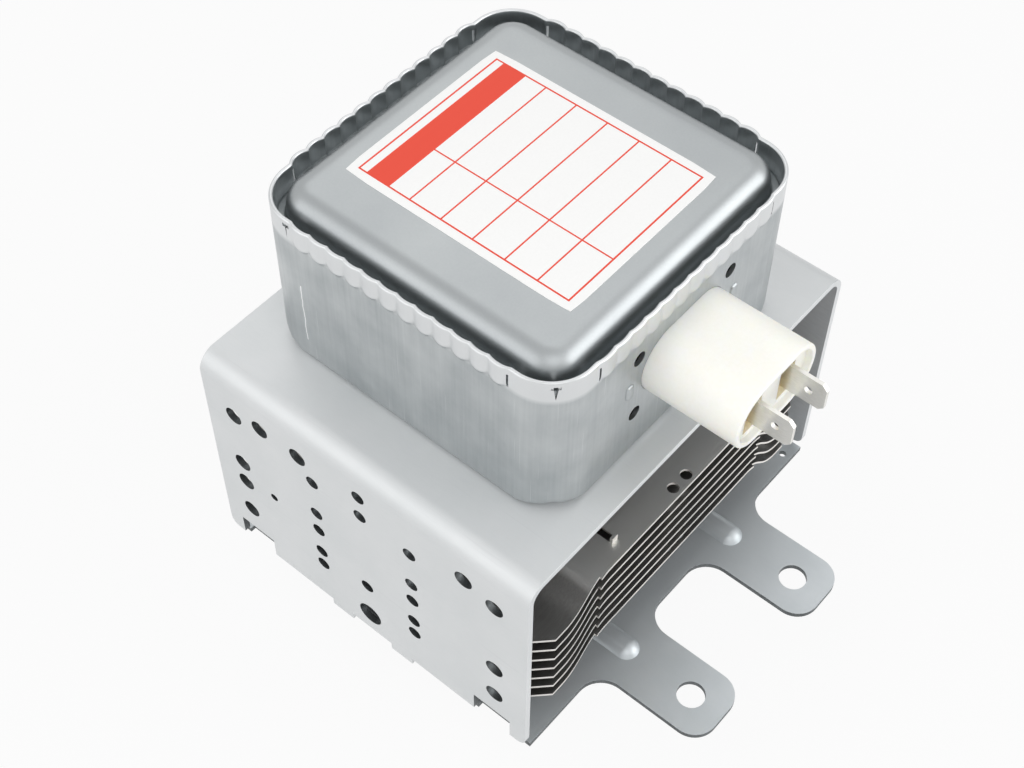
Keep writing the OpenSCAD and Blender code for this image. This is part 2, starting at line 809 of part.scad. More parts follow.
module ferrite_rod_right() color(ferrite) {
    ferrite_rod();
}

module lower_magnet() color(ferrite) {
    translate([0, 0, magnet_low_z]) ring(passage_r, magnet_d / 2, magnet_t);
}

module upper_magnet() color(ferrite) {
    translate([0, 0, magnet_top_z]) ring(passage_r, magnet_d / 2, magnet_t);
}

// Plan outline of a fin: flat middle, set-back wings and chamfered corners
module fin_outline() {
    quarter = [
        [0, 0], [0, fin_mid_edge], [fin_mid_w / 2, fin_mid_edge], [fin_mid_w / 2, fin_wing_edge],
        [fin_wing_w - fin_chamfer, fin_wing_edge], [fin_wing_w, fin_wing_edge - fin_chamfer],
        [fin_wing_w, 0]
    ];
    for (mx = [0, 1], my = [0, 1]) {
        mirror([mx, 0]) mirror([0, my]) polygon(quarter);
    }
}

// Bent section of a fin, seen along the air flow
module fin_section() {
    half = [
        [fin_wing_w, -fin_drop], [fin_mid_w / 2 + fin_slope_w, -fin_drop], [fin_mid_w / 2, 0]
    ];
    left = [for (p = half) [-p[0], p[1]]];
    lower = concat(half, [for (i = [2 : -1 : 0]) left[i]]);
    upper = [for (i = [5 : -1 : 0]) lower[i] + [0, fin_t]];
    polygon(concat(lower, upper));
}

module fin(i) color(aluminium) {
    translate([0, 0, fin_low_z + (i - 1) * fin_pitch]) {
        difference() {
            intersection() {
                rotate([90, 0, 0]) linear_extrude(2 * fin_mid_d, center = true) fin_section();
                translate([0, 0, -2 * fin_drop]) linear_extrude(4 * fin_drop) fin_outline();
            }
            translate([0, 0, -cut]) cylinder(r = anode_d / 2 + collar_gap, h = fin_t + 2 * cut);
            for (s = [-1, 1]) {
                translate([s * fin_hole_pitch / 2, -fin_mid_edge + fin_hole_in, -cut]) {
                    cylinder(d = fin_hole_d, h = fin_t + 2 * cut);
                }
                translate([s * fin_slot_x - fin_slot_w / 2, -fin_mid_edge + fin_slot_in, -cut]) {
                    cube([fin_slot_w, fin_slot_len, fin_t + 2 * cut]);
                }
            }
        }
        ring(anode_d / 2 + collar_gap, anode_d / 2 + collar_gap + fin_t, collar_h);
        for (s = [-1, 1]) {
            translate([s * fin_slot_x, -fin_mid_edge + fin_slot_in - fin_t / 2, fin_t + fin_lug_h / 2]) {
                cube([fin_slot_w, fin_t, fin_lug_h], center = true);
            }
        }
    }
}

module anode_cylinder() color(copper) {
    translate([0, 0, anode_z]) ring(anode_in_r, anode_d / 2, anode_h);
}

module anode_vanes() color(copper) {
    r_out = anode_in_r - vane_gap;
    translate([0, 0, vane_low]) intersection() {
        cylinder(r = r_out, h = vane_h);
        for (i = [0 : vane_count - 1]) {
            rotate(i * 360 / vane_count) translate([vane_tip_r, -vane_t / 2, -cut]) {
                cube([r_out, vane_t, vane_h + 2 * cut]);
            }
        }
    }
}

// Pair of strap rings with their lower face at the given height
module straps(z) {
    for (r = [strap_r, strap_r + strap_pitch]) {
        translate([0, 0, z]) ring(r - strap_t / 2, r + strap_t / 2, strap_t);
    }
}

module upper_straps() color(copper) {
    straps(vane_top);
}

module lower_straps() color(copper) {
    straps(vane_low - strap_t);
}

// Pole piece with its flange below and its cone pointing up
module pole_piece() {
    tip_z = (anode_h - vane_h) / 2 + pole_t - pole_gap;
    tip_r = pole_hole_r + pole_t;
    rotate_extrude() polygon([
        [cone_r, 0], [anode_d / 2 - pole_in, 0], [anode_d / 2 - pole_in, pole_t],
        [cone_r + pole_t, pole_t], [tip_r, tip_z], [pole_hole_r, tip_z], [pole_hole_r, tip_z - pole_t]
    ]);
}

// Slanted part of the antenna lead's way down from its vane
module antenna_slant(d) {
    bar(antenna_knee, antenna_top, d);
}

module lower_pole_piece() color(steel) {
    difference() {
        translate([0, 0, anode_z - pole_t]) pole_piece();
        antenna_slant(antenna_lead_d + 2 * antenna_clear);
    }
}

module upper_pole_piece() color(steel) {
    translate([0, 0, magnet_top_z]) mirror([0, 0, 1]) pole_piece();
}

// Thin sleeve of the given length with its flange at the bottom
module sleeve(len) {
    ring(sleeve_d / 2 - sleeve_t, sleeve_d / 2, len);
    ring(sleeve_d / 2 - sleeve_t, sleeve_flange_r, sleeve_flange_t);
}

module upper_sleeve() color(steel) {
    translate([0, 0, magnet_top_z]) sleeve(stem_z - magnet_top_z);
}

module lower_sleeve() color(steel) {
    top = anode_z - pole_t;
    translate([0, 0, top]) mirror([0, 0, 1]) sleeve(top - base_z);
    translate([0, 0, base_z]) {
        ring(antenna_ceramic_d / 2 - antenna_ceramic_t + sleeve_t, sleeve_d / 2, sleeve_flange_t);
    }
}

module ceramic_stem() color(ceramic) {
    difference() {
        translate([0, 0, stem_z]) cylinder(d = sleeve_d, h = stem_h);
        for (s = [-1, 1]) {
            translate([s * lead_pitch / 2, 0, stem_z - cut]) {
                cylinder(d = lead_d + 2 * lead_clear, h = stem_h + 2 * cut);
            }
        }
    }
}

// Flat tag at the top of a lead
module lead_tag(x) {
    translate([x - lead_d / 2, -tag_w / 2, tag_z]) cube([lead_d, tag_w, tag_h]);
}

module cathode_lead_left() color(tungsten) {
    x = -lead_pitch / 2;
    bar([x, 0, hat_top + hat_t], [x, 0, tag_z + cut], lead_d);
    lead_tag(x);
}

module cathode_lead_right() color(tungsten) {
    x = lead_pitch / 2;
    bar([x, 0, lead_link_z], [x, 0, tag_z + cut], lead_d);
    translate([x, 0, lead_link_z]) sphere(d = lead_d);
    bar([x, 0, lead_link_z], [0, 0, lead_link_z], lead_d);
    translate([0, 0, lead_link_z]) sphere(d = lead_d);
    bar([0, 0, hat_low], [0, 0, lead_link_z], lead_d);
    lead_tag(x);
}

module upper_end_hat() color(tungsten) {
    translate([0, 0, hat_top]) ring(lead_d, hat_r, hat_t);
}

module lower_end_hat() color(tungsten) {
    translate([0, 0, hat_low - hat_t]) cylinder(r = hat_r, h = hat_t);
}

module cathode_filament() color(tungsten) {
    step = (hat_top - hat_low - filament_d) / (filament_turns - 1);
    turns_per_gap = ceil(step / (filament_d * 0.95));
    translate([0, 0, hat_low + filament_d / 2]) {
        wire_stack(filament_r, filament_d, step / turns_per_gap, (filament_turns - 1) * turns_per_gap + 1);
    }
}

module antenna_lead() color(copper) {
    difference() {
        antenna_slant(antenna_lead_d);
        translate([0, 0, vane_low]) cylinder(d = anode_d, h = anode_h);
    }
    translate(antenna_knee) sphere(d = antenna_lead_d);
    bar(antenna_end, antenna_knee, antenna_lead_d);
}

module antenna_ceramic() color(ceramic) {
    r = antenna_ceramic_d / 2;
    translate([0, 0, cap_top_z]) ring(r - antenna_ceramic_t, r, antenna_ceramic_h);
}

// Solid of the cap's outside, its wall grown inwards by the inset
module cap_solid(inset) {
    r = antenna_cap_d / 2 - inset;
    edge = antenna_cap_edge_r - inset;
    rotate_extrude() {
        translate([0, edge + inset]) square([r, antenna_cap_h - edge - 2 * inset]);
        translate([0, inset]) square([r - edge, antenna_cap_h - 2 * inset]);
        intersection() {
            translate([r - edge, edge + inset]) circle(edge);
            square([r, antenna_cap_h]);
        }
    }
}

module antenna_cap() color(steel) {
    translate([0, 0, cap_low_z]) difference() {
        cap_solid(0);
        cap_solid(antenna_cap_t);
        cylinder(r = antenna_ceramic_d / 2 - antenna_ceramic_t, h = antenna_cap_h - antenna_cap_t);
        translate([0, 0, antenna_cap_h / 2]) {
            cylinder(r = antenna_ceramic_d / 2 - antenna_ceramic_t, h = antenna_cap_h);
        }
        translate([0, 0, -cut]) cylinder(r = exhaust_d / 4, h = 2 * cut);
    }
}

module exhaust_tube() color(copper) {
    r = exhaust_d / 2;
    flange_z = cap_top_z - antenna_cap_t - exhaust_t;
    translate([0, 0, flange_z]) ring(r - exhaust_t, antenna_cap_d / 2 - 2 * antenna_cap_t, exhaust_t);
    translate([0, 0, pinch_z + pinch_h]) ring(r - exhaust_t, r, flange_z - pinch_z - pinch_h);
    translate([-r, -exhaust_t, pinch_z]) cube([exhaust_d, 2 * exhaust_t, pinch_h]);
}

module rf_gasket() color(plate_grey) {
    r_in = sleeve_d / 2 + gasket_gap;
    width = gasket_d / 2 - r_in;
    round_r = gasket_h / 4;
    translate([0, 0, gasket_seat - gasket_h / 2]) rotate_extrude() {
        translate([r_in + width / 2, 0]) rounded(width, gasket_h, round_r);
    }
}

module gasket_retainer() color(steel) {
    translate([0, 0, gasket_seat - retainer_h]) {
        ring(retainer_r, retainer_r + retainer_w, retainer_h);
    }
}

yoke();
mounting_plate();
filter_box();
filter_lid();
rating_label();
capacitor_housing();
capacitor_flange();
capacitor_core();
terminal_left();
terminal_right();
choke_coil_left();
choke_coil_right();
ferrite_rod_left();
ferrite_rod_right();
lower_magnet();
upper_magnet();
anode_cylinder();
anode_vanes();
upper_straps();
lower_straps();
upper_pole_piece();
lower_pole_piece();
upper_sleeve();
lower_sleeve();
ceramic_stem();
cathode_lead_left();
cathode_lead_right();
upper_end_hat();
lower_end_hat();
cathode_filament();
antenna_lead();
antenna_ceramic();
antenna_cap();
exhaust_tube();
rf_gasket();
gasket_retainer();
for (i = [1 : fin_count]) {
    fin(i);
}
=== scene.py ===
import math
import bmesh
import bpy
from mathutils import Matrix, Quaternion, Vector


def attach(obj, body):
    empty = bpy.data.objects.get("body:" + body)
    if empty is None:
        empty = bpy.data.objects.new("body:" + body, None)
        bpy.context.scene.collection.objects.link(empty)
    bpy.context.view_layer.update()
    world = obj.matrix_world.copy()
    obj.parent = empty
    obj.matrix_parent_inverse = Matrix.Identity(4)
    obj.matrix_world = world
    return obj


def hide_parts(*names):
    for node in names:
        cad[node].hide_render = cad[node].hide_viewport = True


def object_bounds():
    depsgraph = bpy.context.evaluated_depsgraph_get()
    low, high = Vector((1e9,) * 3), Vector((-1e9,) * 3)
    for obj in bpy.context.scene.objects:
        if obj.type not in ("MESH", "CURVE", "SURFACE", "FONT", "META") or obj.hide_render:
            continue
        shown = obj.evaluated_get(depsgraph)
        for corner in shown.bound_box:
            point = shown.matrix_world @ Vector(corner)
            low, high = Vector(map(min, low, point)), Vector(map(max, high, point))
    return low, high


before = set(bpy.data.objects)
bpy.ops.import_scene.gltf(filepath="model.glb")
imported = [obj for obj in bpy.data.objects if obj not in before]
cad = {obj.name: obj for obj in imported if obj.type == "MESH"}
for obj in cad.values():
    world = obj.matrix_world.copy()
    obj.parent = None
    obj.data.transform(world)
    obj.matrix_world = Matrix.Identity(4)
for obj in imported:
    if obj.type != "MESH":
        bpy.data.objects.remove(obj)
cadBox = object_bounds()
mm = 0.001
print("frame loaded:", len(cad), "nodes")


def linearColor(hexText):
    parts = [int(hexText[i:i + 2], 16) / 255 for i in (1, 3, 5)]
    return [c / 12.92 if c <= 0.04045 else ((c + 0.055) / 1.055) ** 2.4 for c in parts] + [1.0]


def addNode(tree, kind, inputs=None, **settings):
    node = tree.nodes.new(kind)
    for name, value in settings.items():
        setattr(node, name, value)
    for name, value in (inputs or {}).items():
        if isinstance(value, bpy.types.NodeSocket):
            tree.links.new(value, node.inputs[name])
        else:
            node.inputs[name].default_value = value
    return node


def newMaterial(name):
    material = bpy.data.materials.new(name)
    material.use_nodes = True
    tree = material.node_tree
    tree.nodes.clear()
    surface = addNode(tree, "ShaderNodeBsdfPrincipled")
    addNode(tree, "ShaderNodeOutputMaterial", {"Surface": surface.outputs[0]})
    place = addNode(tree, "ShaderNodeTexCoord").outputs["Object"]
    return material, tree, surface, place


# part of a noise's range that each look uses, the wavering of a long scratch, light soaking into resin
spans = {"metalTone": (0.32, 0.66), "resinTone": (0.35, 0.65), "rough": (0.3, 0.7), "scratch": (0.7, 0.76)}
waver = {"scale": 300.0, "swing": 0.6, "color": "#FAFAFA"}
soak = {"weight": 0.5, "radius": (1.0, 0.85, 0.6)}


def metalFinish(name, f):
    # f: light and dark tone, roughness range, grain size in mm along x, y, z, cloud size in mm, bump in mm
    material, tree, surface, place = newMaterial(name)
    grainScale = [1000 / size for size in f["grain"]]
    turned = addNode(tree, "ShaderNodeMapping", {"Vector": place, "Scale": grainScale})
    grain = addNode(tree, "ShaderNodeTexNoise", {"Vector": turned.outputs[0], "Scale": 1.0, "Detail": 4.0})
    cloud = addNode(tree, "ShaderNodeTexNoise", {"Vector": place, "Scale": 1000 / f["cloud"], "Detail": 5.0})
    both = addNode(tree, "ShaderNodeMix", {0: f["cloudShare"], 2: grain.outputs[0], 3: cloud.outputs[0]})
    tone = addNode(
        tree, "ShaderNodeMapRange",
        {"Value": both.outputs[0], "From Min": spans["metalTone"][0], "From Max": spans["metalTone"][1]},
    )
    color = addNode(
        tree, "ShaderNodeMix",
        {0: tone.outputs[0], 6: linearColor(f["dark"]), 7: linearColor(f["light"])}, data_type="RGBA",
    )
    rough = addNode(
        tree, "ShaderNodeMapRange",
        {"Value": both.outputs[0], "From Min": spans["rough"][0], "From Max": spans["rough"][1],
         "To Min": f["rough"][1], "To Max": f["rough"][0]},
    )
    bump = addNode(
        tree, "ShaderNodeBump",
        {"Height": grain.outputs[0], "Strength": 1.0, "Distance": f["bump"] * mm},
    )
    surface.inputs["Metallic"].default_value = f.get("metal", 1.0)  # dull plating scatters part of it
    tree.links.new(color.outputs[2], surface.inputs["Base Color"])
    tree.links.new(rough.outputs[0], surface.inputs["Roughness"])
    tree.links.new(bump.outputs[0], surface.inputs["Normal"])
    if "scratch" in f:  # sparse bright lines, longest along the wide size
        lineScale = [1000 / size for size in f["scratch"]]
        line = addNode(tree, "ShaderNodeMapping", {"Vector": place, "Scale": lineScale})
        mark = addNode(tree, "ShaderNodeTexNoise", {"Vector": line.outputs[0], "Scale": 1.0, "Detail": 1.0})
        cut = addNode(
            tree, "ShaderNodeMapRange",
            {"Value": mark.outputs[0], "From Min": spans["scratch"][0], "From Max": spans["scratch"][1],
             "To Max": f["scratchTone"]},
        )
        marked = addNode(
            tree, "ShaderNodeMix",
            {0: cut.outputs[0], 6: color.outputs[2], 7: linearColor(f["scratchColor"])}, data_type="RGBA",
        )
        tree.links.new(marked.outputs[2], surface.inputs["Base Color"])
        color = marked
    if "paintedHighlight" in f or "nick" in f:
        axes = addNode(tree, "ShaderNodeSeparateXYZ", {0: place})
    if "paintedHighlight" in f:  # painted highlight: outside faces between two heights in mm turn to a lighter tone
        above = addNode(
            tree, "ShaderNodeMapRange",
            {"Value": axes.outputs[2], "From Min": f["paintedHighlight"][0] * mm, "From Max": f["paintedHighlight"][1] * mm},
        )
        facing = addNode(tree, "ShaderNodeNewGeometry").outputs["Normal"]
        outside = addNode(tree, "ShaderNodeVectorMath", {0: place, 1: facing}, operation="DOT_PRODUCT")
        signed = addNode(
            tree, "ShaderNodeMath", {0: outside.outputs["Value"], 1: 0.0}, operation="GREATER_THAN",
        )
        highlightMask = addNode(
            tree, "ShaderNodeMath", {0: above.outputs[0], 1: signed.outputs[0]}, operation="MULTIPLY",
        )
        rim = addNode(
            tree, "ShaderNodeMix",
            {0: highlightMask.outputs[0], 6: color.outputs[2], 7: linearColor(f["paintedHighlightColor"])}, data_type="RGBA",
        )
        tree.links.new(rim.outputs[2], surface.inputs["Base Color"])
        color = rim
    if "nick" in f:  # one long scratch as (x limit, y, z, half width, half length) in mm
        limit, nickY, nickZ, halfW, halfL = f["nick"]
        wander = addNode(
            tree, "ShaderNodeTexNoise", {"Vector": place, "Scale": waver["scale"], "Detail": 2.0},
        )
        bent = addNode(
            tree, "ShaderNodeMath", {0: wander.outputs[0], 1: waver["swing"] * mm, 2: axes.outputs[1]},
            operation="MULTIPLY_ADD",
        )
        middle = (nickY + waver["swing"] / 2) * mm
        onLine = addNode(
            tree, "ShaderNodeMath", {0: bent.outputs[0], 1: middle, 2: halfW * mm}, operation="COMPARE",
        )
        onHeight = addNode(
            tree, "ShaderNodeMath", {0: axes.outputs[2], 1: nickZ * mm, 2: halfL * mm}, operation="COMPARE",
        )
        onSide = addNode(tree, "ShaderNodeMath", {0: axes.outputs[0], 1: limit * mm}, operation="LESS_THAN")
        line = addNode(
            tree, "ShaderNodeMath", {0: onLine.outputs[0], 1: onHeight.outputs[0]}, operation="MULTIPLY",
        )
        nick = addNode(
            tree, "ShaderNodeMath", {0: line.outputs[0], 1: onSide.outputs[0]}, operation="MULTIPLY",
        )
        nicked = addNode(
            tree, "ShaderNodeMix",
            {0: nick.outputs[0], 6: color.outputs[2], 7: linearColor(waver["color"])}, data_type="RGBA",
        )
        tree.links.new(nicked.outputs[2], surface.inputs["Base Color"])
    return material


def plainFinish(name, f):
    # f: light and dark tone, roughness range, speckle and cloud size in mm, bump in mm
    material, tree, surface, place = newMaterial(name)
    speckle = addNode(
        tree, "ShaderNodeTexNoise", {"Vector": place, "Scale": 1000 / f["speckle"], "Detail": 6.0},
    )
    cloud = addNode(tree, "ShaderNodeTexNoise", {"Vector": place, "Scale": 1000 / f["cloud"], "Detail": 2.0})
    both = addNode(tree, "ShaderNodeMix", {0: 0.5, 2: speckle.outputs[0], 3: cloud.outputs[0]})
    tone = addNode(
        tree, "ShaderNodeMapRange",
        {"Value": both.outputs[0], "From Min": spans["resinTone"][0], "From Max": spans["resinTone"][1]},
    )
    color = addNode(
        tree, "ShaderNodeMix",
        {0: tone.outputs[0], 6: linearColor(f["dark"]), 7: linearColor(f["light"])}, data_type="RGBA",
    )
    rough = addNode(
        tree, "ShaderNodeMapRange",
        {"Value": speckle.outputs[0], "From Min": spans["rough"][0], "From Max": spans["rough"][1],
         "To Min": f["rough"][0], "To Max": f["rough"][1]},
    )
    bump = addNode(
        tree, "ShaderNodeBump",
        {"Height": speckle.outputs[0], "Strength": 1.0, "Distance": f["bump"] * mm},
    )
    tree.links.new(color.outputs[2], surface.inputs["Base Color"])
    tree.links.new(rough.outputs[0], surface.inputs["Roughness"])
    tree.links.new(bump.outputs[0], surface.inputs["Normal"])
    if "bleed" in f:  # light that soaks through the resin, in mm
        surface.inputs["Subsurface Weight"].default_value = soak["weight"]
        surface.inputs["Subsurface Radius"].default_value = soak["radius"]
        surface.inputs["Subsurface Scale"].default_value = f["bleed"] * mm
    return material


# zinc plate over rolled steel: even satin grey, faint rolling grain along y
zincSheet = metalFinish("zincPlatedSheet", {
    "light": "#D9DBDC", "dark": "#D3D6D7", "rough": (0.40, 0.47), "grain": (0.5, 3.0, 0.5),
    "cloud": 16, "cloudShare": 0.8, "bump": 0.0012, "metal": 0.4,
    "scratch": (0.35, 22, 0.5), "scratchTone": 0.2, "scratchColor": "#C6C8CA",
})
# chromated zinc of the plate: cooler and a little darker
bluishZinc = metalFinish("bluishZincPlate", {
    "light": "#CCD1D4", "dark": "#C5CBCE", "rough": (0.36, 0.44), "grain": (0.5, 2.5, 0.5),
    "cloud": 12, "cloudShare": 0.85, "bump": 0.001, "metal": 0.6,
})
# deep-drawn aluminium: upright streaks from the die and rubbed, smudgy patches
drawnAluminium = metalFinish("drawnAluminium", {
    "light": "#C1C5C6", "dark": "#AEB3B5", "rough": (0.32, 0.44), "grain": (0.6, 0.6, 26),
    "cloud": 8, "cloudShare": 0.72, "bump": 0.0025,
    "scratch": (0.4, 0.4, 16), "scratchTone": 0.3, "scratchColor": "#E2E4E4",
    # painted highlight: the outer faces at the foot of the crimps are lit lighter
    "paintedHighlight": (87.4, 88.6), "paintedHighlightColor": "#DCDEDF", "nick": (-30, 23.4, 70.2, 0.13, 7.3),
})
# pressed lid sheet: smooth satin, only a soft cloud
pressedAluminium = metalFinish("pressedAluminium", {
    "light": "#B6BABB", "dark": "#AFB3B5", "rough": (0.37, 0.43), "grain": (0.4, 0.4, 0.4),
    "cloud": 20, "cloudShare": 0.7, "bump": 0.002,
})
# bright rolled fin stock, rolling lines along the fin
finStock = metalFinish("rolledFinStock", {
    "light": "#A09E9C", "dark": "#908E8C", "rough": (0.30, 0.40), "grain": (6, 0.35, 0.35),
    # painted highlight: a lighter band on the outside faces near the top of the fin wings
    "cloud": 10, "cloudShare": 0.4, "bump": 0.003, "paintedHighlight": (33.8, 35.8), "paintedHighlightColor": "#E2E1DE",
})
# blanked fin edges: bright, burnished lines
finEdge = metalFinish("blankedFinEdge", {
    "light": "#F4F2EE", "dark": "#E4E2DE", "rough": (0.45, 0.55), "grain": (3, 0.3, 0.3),
    "cloud": 4, "cloudShare": 0.4, "bump": 0.002,
})
# pierced and sheared steel: the plating ends in a dull grey break, darkened further as painted shade so the
# holes look dark
cutSteelAndShade = metalFinish("shearedEdgeAndShade", {
    "light": "#74787A", "dark": "#5C6061", "rough": (0.45, 0.6), "grain": (0.3, 0.3, 0.8),
    "cloud": 2, "cloudShare": 0.5, "bump": 0.004,
})
# inside of the yoke: the same plating with painted shade, a little darker, and rougher
paintedShadeZinc = metalFinish("paintedShadeInnerZinc", {
    "light": "#D2D5D7", "dark": "#C6C9CB", "rough": (0.5, 0.6), "grain": (0.5, 3.0, 0.5),
    "cloud": 12, "cloudShare": 0.6, "bump": 0.002, "metal": 0.6,
})
# phosphated steel of the earth flange: near black, seen only through the holes beside the capacitor
phosphatedSteel = metalFinish("phosphatedSteel", {
    "light": "#2C2D2F", "dark": "#1E1F21", "rough": (0.55, 0.7), "grain": (0.4, 0.4, 0.4),
    "cloud": 4, "cloudShare": 0.5, "bump": 0.003, "metal": 0.3,
})
# tin over brass: soft bright grey
tinnedBrass = metalFinish("tinnedBrass", {
    "light": "#F0EFEA", "dark": "#E2E1DC", "rough": (0.30, 0.42), "grain": (0.3, 1.2, 0.3),
    "cloud": 3, "cloudShare": 0.5, "bump": 0.004,
})
# oxygen-free copper, slightly tarnished
bareCopper = metalFinish("bareCopper", {
    "light": "#D9906C", "dark": "#B5714E", "rough": (0.28, 0.42), "grain": (0.5, 0.5, 1.5),
    "cloud": 6, "cloudShare": 0.5, "bump": 0.003,
})
# plated deep-drawn steel of cap, sleeves and poles
platedSteel = metalFinish("platedSteel", {
    "light": "#C9C9C6", "dark": "#B4B5B3", "rough": (0.25, 0.36), "grain": (0.4, 0.4, 2.0),
    "cloud": 8, "cloudShare": 0.5, "bump": 0.003,
})
# drawn tungsten and molybdenum: dull dark grey
drawnTungsten = metalFinish("drawnTungsten", {
    "light": "#8E8E90", "dark": "#747477", "rough": (0.38, 0.5), "grain": (0.3, 0.3, 1.0),
    "cloud": 3, "cloudShare": 0.4, "bump": 0.003,
})
# knitted monel wire
knittedWire = metalFinish("knittedWire", {
    "light": "#B4B3AC", "dark": "#8F8F8A", "rough": (0.28, 0.45), "grain": (0.3, 0.3, 0.3),
    "cloud": 2, "cloudShare": 0.5, "bump": 0.002,
})
# glass-filled PBT: warm white, faint moulding sheen
capResin = plainFinish("capResin", {
    "light": "#F8F7F1", "dark": "#F4F3EB", "rough": (0.36, 0.46), "speckle": 0.6, "cloud": 7, "bump": 0.004,
    "bleed": 2.0,
})
# the same resin in a warmer, darker tone deep in the pockets: painted shade
pocketResin = plainFinish("pocketResin", {
    "light": "#F3E8CF", "dark": "#EADDBE", "rough": (0.4, 0.5), "speckle": 0.6, "cloud": 3, "bump": 0.004,
    "bleed": 3.0,
})
# sintered strontium ferrite: matt dark grey with a fine grit
sinteredFerrite = plainFinish("sinteredFerrite", {
    "light": "#3C3C3E", "dark": "#2A2A2C", "rough": (0.62, 0.8), "speckle": 0.4, "cloud": 6, "bump": 0.01,
})
# unglazed alumina
aluminaCeramic = plainFinish("aluminaCeramic", {
    "light": "#F1EEE6", "dark": "#E6E2D8", "rough": (0.5, 0.65), "speckle": 0.3, "cloud": 5, "bump": 0.004,
})


def labelFinish(name, f):
    # coated film: white with plain red bars and rules, each as (x, y, half width, half height) in mm
    material, tree, surface, place = newMaterial(name)
    axes = addNode(tree, "ShaderNodeSeparateXYZ", {0: place})
    ink = None
    for x, y, halfW, halfH in f["bars"]:
        inX = addNode(
            tree, "ShaderNodeMath", {0: axes.outputs[0], 1: x * mm, 2: halfW * mm}, operation="COMPARE",
        )
        inY = addNode(
            tree, "ShaderNodeMath", {0: axes.outputs[1], 1: y * mm, 2: halfH * mm}, operation="COMPARE",
        )
        bar = addNode(tree, "ShaderNodeMath", {0: inX.outputs[0], 1: inY.outputs[0]}, operation="MULTIPLY")
        if ink is not None:
            bar = addNode(tree, "ShaderNodeMath", {0: ink, 1: bar.outputs[0]}, operation="MAXIMUM")
        ink = bar.outputs[0]
    fibre = addNode(tree, "ShaderNodeTexNoise", {"Vector": place, "Scale": 1000 / f["fibre"], "Detail": 4.0})
    paper = addNode(
        tree, "ShaderNodeMix",
        {0: fibre.outputs[0], 6: linearColor(f["paper"][0]), 7: linearColor(f["paper"][1])},
        data_type="RGBA",
    )
    color = addNode(
        tree, "ShaderNodeMix", {0: ink, 6: paper.outputs[2], 7: linearColor(f["ink"])}, data_type="RGBA",
    )
    bump = addNode(
        tree, "ShaderNodeBump", {"Height": fibre.outputs[0], "Strength": 1.0, "Distance": f["bump"] * mm},
    )
    surface.inputs["Roughness"].default_value = f["rough"]
    tree.links.new(color.outputs[2], surface.inputs["Base Color"])
    tree.links.new(bump.outputs[0], surface.inputs["Normal"])
    return material


def frameBars(halfW, halfH, line):
    sides = [(0, s * halfH, halfW + line, line) for s in (-1, 1)]
    return sides + [(s * halfW, 0, line, halfH + line) for s in (-1, 1)]


labelFilm = labelFinish("coatedLabelFilm", {
    "paper": ("#F1F1F0", "#F6F6F5"), "ink": "#E4452E", "fibre": 0.5, "rough": 0.42, "bump": 0.002,
    "bars": frameBars(18.2, 23.1, 0.18) + [(0, 18.8, 18.2, 2.6)]
    + [(0, y, 18.2, 0.16) for y in (11.5, 4.5, -2.5, -9.5, -16.5)] + [(-6.5, -3.45, 0.16, 19.65)],
})
print("materials made:", len(bpy.data.materials))


def linkObject(name, data):
    made = bpy.data.objects.new(name, data)
    bpy.context.scene.collection.objects.link(made)
    return made


def meshFrom(name, bm):
    mesh = bpy.data.meshes.new(name)
    bm.to_mesh(mesh)
    bm.free()
    return mesh


def newPiece(name, mesh, nodes, slotName, *materials):
    piece = linkObject(name, mesh)
    for material in materials:
        mesh.materials.append(material)
    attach(piece, "root")
    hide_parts(*nodes)
    return piece


# in mm and degrees
merging = {"nodeGap": 0.002, "flatAngle": 0.6, "cutGap": 0.004, "cutAngle": 50}
bevelling = {"segments": 2, "angle": 35}


def mergedCopy(nodeName):
    # CAD nodes are loose triangles: merge, then melt flat faces together
    bm = bmesh.new()
    bm.from_mesh(cad[nodeName].data)
    bmesh.ops.remove_doubles(bm, verts=bm.verts, dist=merging["nodeGap"] * mm)
    bmesh.ops.dissolve_limit(
        bm, angle_limit=math.radians(merging["flatAngle"]), verts=bm.verts, edges=bm.edges,
        use_dissolve_boundaries=False,
    )
    for face in bm.faces:
        face.smooth = True
        face.material_index = 0
    return bm


def cleanMesh(name, bm):
    mesh = meshFrom(name, bm)
    for attribute in ("custom_normal", "sharp_face"):
        if attribute in mesh.attributes:
            mesh.attributes.remove(mesh.attributes[attribute])
    mesh.shade_smooth()
    return mesh


def mendCut(mesh):
    # merge the slivers that a cut leaves where its edges cross, and keep its edges crisp
    bm = bmesh.new()
    bm.from_mesh(mesh)
    bmesh.ops.remove_doubles(bm, verts=bm.verts, dist=merging["cutGap"] * mm)
    bmesh.ops.triangulate(bm, faces=[face for face in bm.faces if len(face.verts) > 4])
    bmesh.ops.dissolve_degenerate(bm, edges=bm.edges, dist=merging["cutGap"] * mm)
    for edge in bm.edges:
        if len(edge.link_faces) == 2 and edge.calc_face_angle() > math.radians(merging["cutAngle"]):
            edge.smooth = False
    bm.to_mesh(mesh)
    bm.free()


def shapeWith(base, tools):
    # tools: (name, bmesh, boolean operation), in order; base and tools go once the mesh is made
    helpers = [base]
    for name, bm, operation in tools:
        bmesh.ops.recalc_face_normals(bm, faces=bm.faces)
        helpers.append(linkObject(name, meshFrom(name, bm)))
        change = base.modifiers.new(name, "BOOLEAN")
        change.operation = operation
        change.solver = "EXACT"
        change.object = helpers[-1]
    mesh = bpy.data.meshes.new_from_object(base.evaluated_get(bpy.context.evaluated_depsgraph_get()))
    for helper in helpers:
        bpy.data.objects.remove(helper)
    mendCut(mesh)
    return mesh


def softenEdges(piece, width):
    bevel = piece.modifiers.new("softEdges", "BEVEL")
    bevel.width = width * mm
    bevel.segments = bevelling["segments"]
    bevel.limit_method = "ANGLE"
    bevel.angle_limit = math.radians(bevelling["angle"])
    bevel.harden_normals = True


def markFaces(bm, pick):
    # pick gives the material's number from a face's centre in mm and its normal
    bm.normal_update()
    for face in bm.faces:
        face.material_index = pick(face.calc_center_median() / mm, face.normal)


def allOver(c, n):
    return 0


